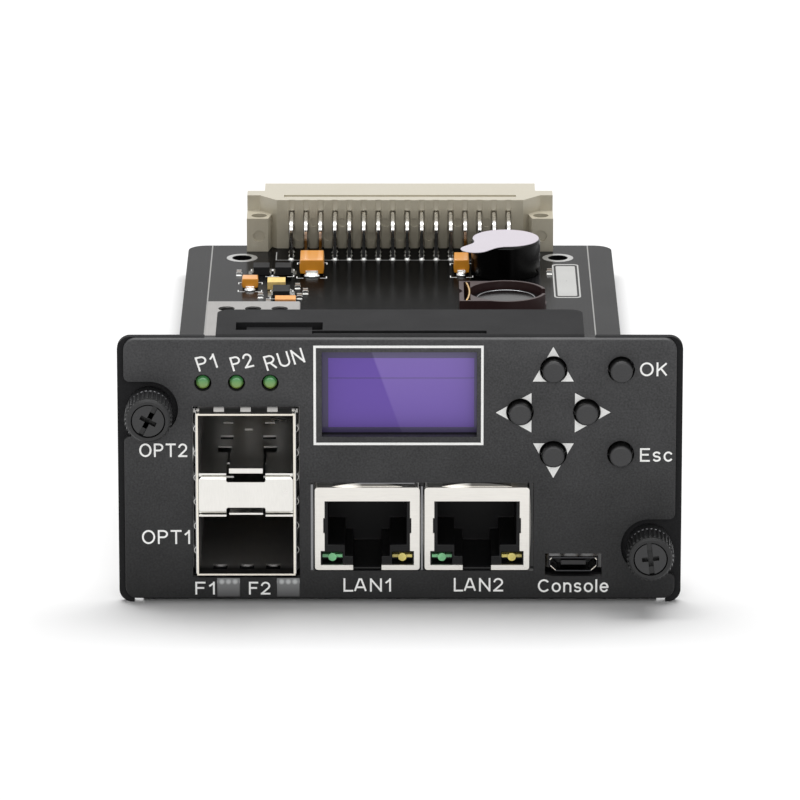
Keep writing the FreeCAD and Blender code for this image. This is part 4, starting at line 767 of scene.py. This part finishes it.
def frameArray(look):
    # four bars just inside the edges: two over the whole width, and two between them
    left, right, low, high, width = pick(look, "left right low high width")
    bars = [(left, right, high - width, high), (left, right, low, low + width),
            (left, left + width, low + width, high - width),
            (right - width, right, low + width, high - width)]
    return boxArray([(x0, x1, *look["depths"], z0, z1) for x0, x1, z0, z1 in bars])


addPiece("displayLine", frameArray(displayLine), "ink_white")
addPiece("cageMouthHighlight", frameArray(cageMouthHighlight), "bright_edge")

# painted highlights round the mouth of the console socket: a dim one along its cut edge, and glints on its
# corners
consoleMouthHighlight = dict(middle=26.2, half=3.56, foot=2.58, low=5.2, waist=6.12, high=7.24, width=0.1, plane=0.3,
                    edgeRise=0.03, glintRise=0.05, glint=0.7, corner=0.3)
side, foot, low, waist, high = pick(consoleMouthHighlight, "half foot low waist high")
middle, width, plane, corner = pick(consoleMouthHighlight, "middle width plane corner")
mouth = np.array([(-foot, low), (-side, waist), (-side, high), (side, high), (side, waist), (foot, low),
                  (-foot, low)]) + (middle, 0)
edges = strokeArray(mouth, width, consoleMouthHighlight["edgeRise"], plane)
addPiece("consoleMouthHighlight", edges, "dark_edge")
slants = [mouth[[0, 1]], mouth[[4, 5]]]
slants += [mouth[2] + ((0, -corner), (corner, 0)), mouth[3] + ((0, -corner), (-corner, 0))]
shorter = [run.mean(0) + (run - run.mean(0)) * consoleMouthHighlight["glint"] for run in slants]
glints = [strokeArray(run, width, consoleMouthHighlight["glintRise"], plane) for run in shorter]
addPiece("consoleGlints", joinArrays(glints), "bright_edge")

# painted highlights along the cut edges in the hole of the network jacks: left, right, low and high in
# millimetres
jackEdgeHighlights = dict(side=(-13.46, -13.12, 5.4, 18.9), between=(3.18, 3.44, 5.4, 18.6),
                 over=(-6.4, 2.2, 19.02, 19.16))
jackDepths = (0.02, 0.3)
edges = boxArray([(x0, x1, *jackDepths, z0, z1) for x0, x1, z0, z1 in jackEdgeHighlights.values()])
addPiece("jackEdgeHighlights", edges, "dull_edge")

# the display's field in two parts with a seam between them, just in front of its glass; its purple tones are
# a painted reflection
displayFieldBox = dict(left=-10.8, right=11.17, low=27.17, high=37.99, seam=34.86, gap=0.05, front=-0.03, back=0.02)
glassFront = (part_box("display_glass")[0].y - frontY) / mm
left, right, low, high, seam, gap = pick(displayFieldBox, "left right low high seam gap")
sheet = (left, right, glassFront + displayFieldBox["front"], glassFront + displayFieldBox["back"])
field = boxArray([(*sheet, low, seam - gap), (*sheet, seam + gap, high)])
addPiece("displayField", field, "lit_field")
print("panel marks placed")

# Board print, pads and solder

# sideLines: distance from the middle, width, front and rear; plugLine: half its length, front and rear
boardPrint = dict(sink=0.01, lift=0.02, sideLines=((33.05, 0.22, 24.0, 190.9), (21.7, 0.18, 180.9, 186.4)),
                  plugLine=(21.6, 180.9, 181.08), leg=1.2, bracketLine=0.16)
footprints = [(-18.0, -12.7, 168.9, 179.3), (-28.0, -23.8, 160.0, 166.2), (8.7, 12.7, 169.4, 178.8),
              (-26.0, -22.2, 169.9, 174.9), (-22.2, -18.4, 169.9, 174.9), (-22.4, -18.4, 155.4, 161.2),
              (-26.6, -18.6, 136.6, 143.4), (-9.6, 9.6, 97.6, 118.4)]


def span(first, second):
    # two places in rising order
    return sorted((first, second))


def printRun(x0, x1, y0, y1):
    # a thin box of print on the board's upper face
    return (x0, x1, y0, y1, boardTop - boardPrint["sink"], boardTop + boardPrint["lift"])


def bracketRuns(x0, x1, y0, y1):
    # four corner brackets round a footprint: each a leg along x and a leg along y
    leg, line = boardPrint["leg"], boardPrint["bracketLine"]
    ends = [(x, xWay, y, yWay) for x, xWay in ((x0, 1), (x1, -1)) for y, yWay in ((y0, 1), (y1, -1))]
    flat = [printRun(*span(x, x + xWay * leg), *span(y, y + yWay * line)) for x, xWay, y, yWay in ends]
    upright = [printRun(*span(x, x + xWay * line), *span(y + yWay * line, y + yWay * leg))
               for x, xWay, y, yWay in ends]
    return flat + upright


runs = [printRun(way * x - width / 2, way * x + width / 2, front, rear)
        for x, width, front, rear in boardPrint["sideLines"] for way in (-1, 1)]
half, front, rear = boardPrint["plugLine"]
addPiece("boardLines", boxArray(runs + [printRun(-half, half, front, rear)]), "ink_dim")
brackets = [run for spot in footprints for run in bracketRuns(*spot)]
addPiece("footprints", boxArray(brackets), "ink_grey")

# ring pads of the two rear holes
ringPad = dict(inner=1.75, outer=2.7, low=-0.02, high=0.03, segments=64,
               places=((-27.7, 182.5), (27.7, 182.5)))
inner, outer, low, high = pick(ringPad, "inner outer low high")
profile = [(outer, low), (outer, high), (inner, high), (inner, low)]
pads = turnArray([(x, y, boardTop) for x, y in ringPad["places"]], profile, ringPad["segments"])
addPiece("ringPads", pads, "pad_tin")

# solder at the feet of the rear pins and of the link header: a fillet whose radius falls with height
pinFeet = dict(pitch=2.54, columns=16, rows=3, rear=189.0, linkMiddle=27.4, linkColumns=5,
               linkRows=(13.0, 15.54), segments=16)
fillet = [(0.62, -0.01), (0.62, 0.03), (0.52, 0.1), (0.46, 0.22), (0.43, 0.36), (0.3, 0.4), (0.3, -0.01)]


def pitched(count, pitch, middle=0.0):
    # evenly pitched places about the middle
    return middle + (np.arange(count) - (count - 1) / 2) * pitch


pitch = pinFeet["pitch"]
feet = [(x, pinFeet["rear"] - (row + 1) * pitch, boardTop) for row in range(pinFeet["rows"])
        for x in pitched(pinFeet["columns"], pitch)]
feet += [(x, y, boardTop) for x in pitched(pinFeet["linkColumns"], pitch, pinFeet["linkMiddle"])
         for y in pinFeet["linkRows"]]
addPiece("solderFeet", turnArray(feet, fillet, pinFeet["segments"]), "solder", smooth=True)

# a raised ring on the coin cell, lighter than the cell: a painted highlight
cellRingHighlight = dict(place=(18.1, 147.6), radius=5.0, width=0.22, rise=0.06, edge=0.02, segments=96)
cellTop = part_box("coin_cell")[1].z / mm
radius, half, rise, edge = pick(cellRingHighlight, "radius width rise edge")
profile = [(radius + half, -edge), (radius + half, edge), (radius, rise), (radius - half, edge),
           (radius - half, -edge)]
ring = turnArray([(*cellRingHighlight["place"], cellTop)], profile, cellRingHighlight["segments"])
addPiece("cellRingHighlight", ring, "dull_edge", smooth=True)

# a blank plate of pale print with a line round it, at the right of the board
plate = dict(left=26.55, right=31.15, front=156.1, rear=178.2, corner=0.9, line=0.26, gap=0.62,
             fillCorner=0.4, core=0.02, cornerSteps=12)


def plateOutline(inset, radius):
    # the plate's rectangle drawn in, twice as far along its length, with quarter circles at its corners
    x0, x1 = plate["left"] + inset + radius, plate["right"] - inset - radius
    y0, y1 = plate["front"] + 2 * inset + radius, plate["rear"] - 2 * inset - radius
    turns = [(x1, y1, 0), (x0, y1, 90), (x0, y0, 180), (x1, y0, 270)]
    return np.concatenate([arcRun(x, y, radius, radius, start, start + 90, plate["cornerSteps"])
                           for x, y, start in turns])


def bandArray(outer, inner):
    # a flat band of print between two outlines of equal count, closed all round
    low, high = boardTop - boardPrint["sink"], boardTop + boardPrint["lift"]
    rings = [np.insert(ring, 2, level, axis=1) for ring, level in
             ((inner, low), (outer, low), (outer, high), (inner, high))]
    return np.concatenate(rings), gridFaces(4, len(outer), loop=True)


corner, line = plate["corner"], plate["line"]
rim = bandArray(plateOutline(0.0, corner), plateOutline(line, corner - line))
fill = plateOutline(plate["gap"], plate["fillCorner"])
core = fill.mean(0) + (fill - fill.mean(0)) * plate["core"]  # the filling runs in to a tiny core
addPiece("boardPlate", joinArrays([rim, bandArray(fill, core)]), "ink_plate")

# tin ends and pads of the small parts on the board
chipEnds = dict(cap=0.32, size=(0.8, 1.6, 0.6), over=0.02, padSide=0.1, padEnd=0.4, padLow=-0.01,
                padHigh=0.05)
bypassRows = dict(x=(-12.0, 12.6), y=range(98, 119, 4))
passives = [(x, y) for x in bypassRows["x"] for y in bypassRows["y"]]
passives += [(-24.0, 156.9), (-22.6, 152.6), (-17.7, 162.8), (-17.3, 156.2), (-28.0, 171.5), (-16.3, 159.4),
             (26.0, 172.4), (-8.6, 132.0), (0.6, 128.0), (0.6, 132.0), (4.6, 136.0), (-10.0, 136.0)]


def endBoxes(aside, past, low, high):
    # at both ends of each small part, a box that passes its sides and its end and reaches in by the cap
    width, length, height = chipEnds["size"]
    half, inwards = width / 2 + aside, length / 2 - chipEnds["cap"]
    return [(x - half, x + half, *span(y + way * (length / 2 + past), y + way * inwards), boardTop + low,
             boardTop + high) for x, y in passives for way in (-1, 1)]


over = chipEnds["over"]
caps = endBoxes(over, over, 0.0, chipEnds["size"][2] + over)
pads = endBoxes(chipEnds["padSide"], chipEnds["padEnd"], chipEnds["padLow"], chipEnds["padHigh"])
addPiece("chipEnds", boxArray(caps + pads), "solder")

# gull leads of the chips: middle, width, leads on each side and their pitch along the depth
leadedChips = {
    "driver": (-4.0, 128.0, 5.0, 8, 0.7), "store": (-22.6, 140.0, 6.5, 4, 1.27),
    "relay": (24.0, 70.0, 5.0, 3, 1.2), "guard1": (-24.1, 172.4, 2.8, 3, 0.8),
    "guard2": (-20.3, 172.4, 2.8, 3, 0.8), "switcher": (-20.45, 158.3, 2.9, 4, 0.9),
    "memory1": (-22.5, 110.0, 9.0, 16, 0.75), "memory2": (22.5, 112.0, 8.0, 16, 0.8),
}
# a lead's three runs: from and to beyond the chip's side, then low and high over the board
leadRuns = ((-0.05, 0.3, 0.35, 0.48), (0.2, 0.3, 0.03, 0.42), (0.2, 0.85, -0.01, 0.1))
leadShare = 0.24  # half a lead's width as a share of the pitch
leads = []
for x, y, width, count, pitch in leadedChips.values():
    rows = pitched(count, pitch, y)
    leads += [(*span(x + way * (width / 2 + start), x + way * (width / 2 + end)), row - pitch * leadShare,
               row + pitch * leadShare, boardTop + low, boardTop + high)
              for row in rows for way in (-1, 1) for start, end, low, high in leadRuns]
addPiece("chipLeads", boxArray(leads), "solder")

# pale sleeves of the filter and the diode: middle, width, length and height, and the finish
sleeves = {"filter": ((-21.35, 163.2, 3.05, 3.2, 1.3), "part_cream"),
           "diode": ((-19.65, 152.4, 3.5, 2.6, 1.1), "part_tan")}
for name, ((x, y, width, length, height), finish) in sleeves.items():
    across, along = width / 2 + over, length / 2 + over
    sleeve = boxArray([(x - across, x + across, y - along, y + along, boardTop, boardTop + height + over)])
    addPiece(name + "Sleeve", sleeve, finish)

# solder domes at the terminals of the tantalums: middle, width and length of each
tantalumFeet = dict(places=((-15.34, 174.15, 4.3, 7.3), (-25.9, 163.05, 2.9, 3.5), (10.7, 174.2, 2.8, 6.0)),
                    past=0.15, wide=0.34, along=0.85, segments=24)
dome = [(1.0, -0.01), (0.97, 0.12), (0.86, 0.34), (0.6, 0.52), (0.25, 0.55), (0.02, 0.55), (0.02, -0.01)]


def endDomes(x, y, width, length):
    # a dome a little past each end of the capacitor, stretched to a share of its width
    past, wide, along, segments = pick(tantalumFeet, "past wide along segments")
    ends = [(x, y + way * (length / 2 + past), boardTop) for way in (-1, 1)]
    return turnArray(ends, dome, segments, (width * wide, along))


domes = [endDomes(*spot) for spot in tantalumFeet["places"]]
addPiece("tantalumSolder", joinArrays(domes), "solder", smooth=True)
print("board dressed")

# Threads of the captive screws

# ridge: shift in pitches and rise as a share of the thread's height, for each point of its section
thread = dict(start=8.3, end=13.7, pitch=0.5, root=1.47, crest=1.62, steps=36, fade=0.5,
              ridge=((-0.22, 0.0), (0.0, 1.0), (0.22, 0.0), (0.0, -0.4)))
screwAxes = {"left_screw": (-37.65, 30.7), "right_screw": (37.65, 9.1)}


def threadArray(x, z):
    # a ridge along a helix: its angle grows evenly with depth, and its rise fades out at both ends
    start, end, pitch, root, crest, steps = pick(thread, "start end pitch root crest steps")
    turns = (end - start) / pitch
    turn = np.linspace(0, turns, int(turns * steps) + 1)[:, None]
    shift, rise = np.array(thread["ridge"]).T
    fade = np.clip(np.minimum(turn, turns - turn) / thread["fade"], 0, 1)
    radius = root + (crest - root) * rise * fade
    depth = start + (turn + shift) * pitch
    angle = 2 * np.pi * turn
    points = np.stack((x + radius * np.cos(angle), depth, z + radius * np.sin(angle)), -1)
    return points.reshape(-1, 3), gridFaces(len(turn), len(shift))


for body, (x, z) in screwAxes.items():
    addPiece(body + "_thread", threadArray(x, z), "screw_black", body=body, smooth=True)
print("threads cut")

# Stage, light and camera

stageLook = dict(size=6.0, paper=(0.9, 0.9, 0.9, 1), rough=1.0, spec=0.0)
lights = {
    "key": dict(place=(0.0, 0.22, 1.05), aim=(0.0, 0.22, 0.0), size=(1.2, 0.58), power=13.0),
    "front": dict(place=(0.0, -1.2, 0.45), aim=(0.0, -0.09, 0.02), size=(1.2, 0.6), power=5.2),
}
worldLook = dict(colour=(1, 1, 1, 1), fill=0.28)
cameraLook = dict(place=(0.0, -1.13857, 0.33533), tilt=73.77, lens=325.04, sensor=36.0, reach=20)

half = stageLook["size"] / 2
mesh = bpy.data.meshes.new("studioFloor")
corners = [(-half, -half, 0), (half, -half, 0), (half, half, 0), (-half, half, 0)]
mesh.from_pydata(corners, [], [(0, 1, 2, 3)])
floor = bpy.data.objects.new("studioFloor", mesh)
scene.collection.objects.link(floor)
mesh.materials.append(newMaterial("studioPaper", stageLook)[0])

# the world is white to the camera, in mirrors and through glass, and lights the object with a share of that
world = bpy.data.worlds.new("studioWorld")
scene.world = world
world.use_nodes = True
path = world.node_tree.nodes.new("ShaderNodeLightPath").outputs
first = mathField("MAXIMUM", Field(path["Is Camera Ray"]), Field(path["Is Glossy Ray"]))
seen = mathField("MAXIMUM", first, Field(path["Is Transmission Ray"]))
strength = seen * (1 - worldLook["fill"]) + worldLook["fill"]
feed(world.node_tree.nodes["Background"].inputs, {"Color": worldLook["colour"], "Strength": strength})

# a lamp shines straight down, so it's turned about x towards its aim
for name, look in lights.items():
    data = bpy.data.lights.new(name, "AREA")
    data.shape = "RECTANGLE"
    data.size, data.size_y = look["size"]
    data.energy = look["power"]
    lamp = bpy.data.objects.new(name, data)
    scene.collection.objects.link(lamp)
    aside, ahead, rise = np.subtract(look["aim"], look["place"])
    lamp.location = look["place"]
    lamp.rotation_euler = (math.copysign(math.atan2(math.hypot(aside, ahead), -rise), ahead), 0, 0)

data = bpy.data.cameras.new("photoCamera")
data.sensor_fit = "HORIZONTAL"
data.sensor_width = cameraLook["sensor"]
data.lens = cameraLook["lens"]
data.clip_end = cameraLook["reach"]
camera = bpy.data.objects.new("photoCamera", data)
scene.collection.objects.link(camera)
camera.location = cameraLook["place"]
camera.rotation_euler = (math.radians(cameraLook["tilt"]), 0, 0)
scene.camera = camera
scene.view_settings.view_transform = "Standard"
print("stage set")
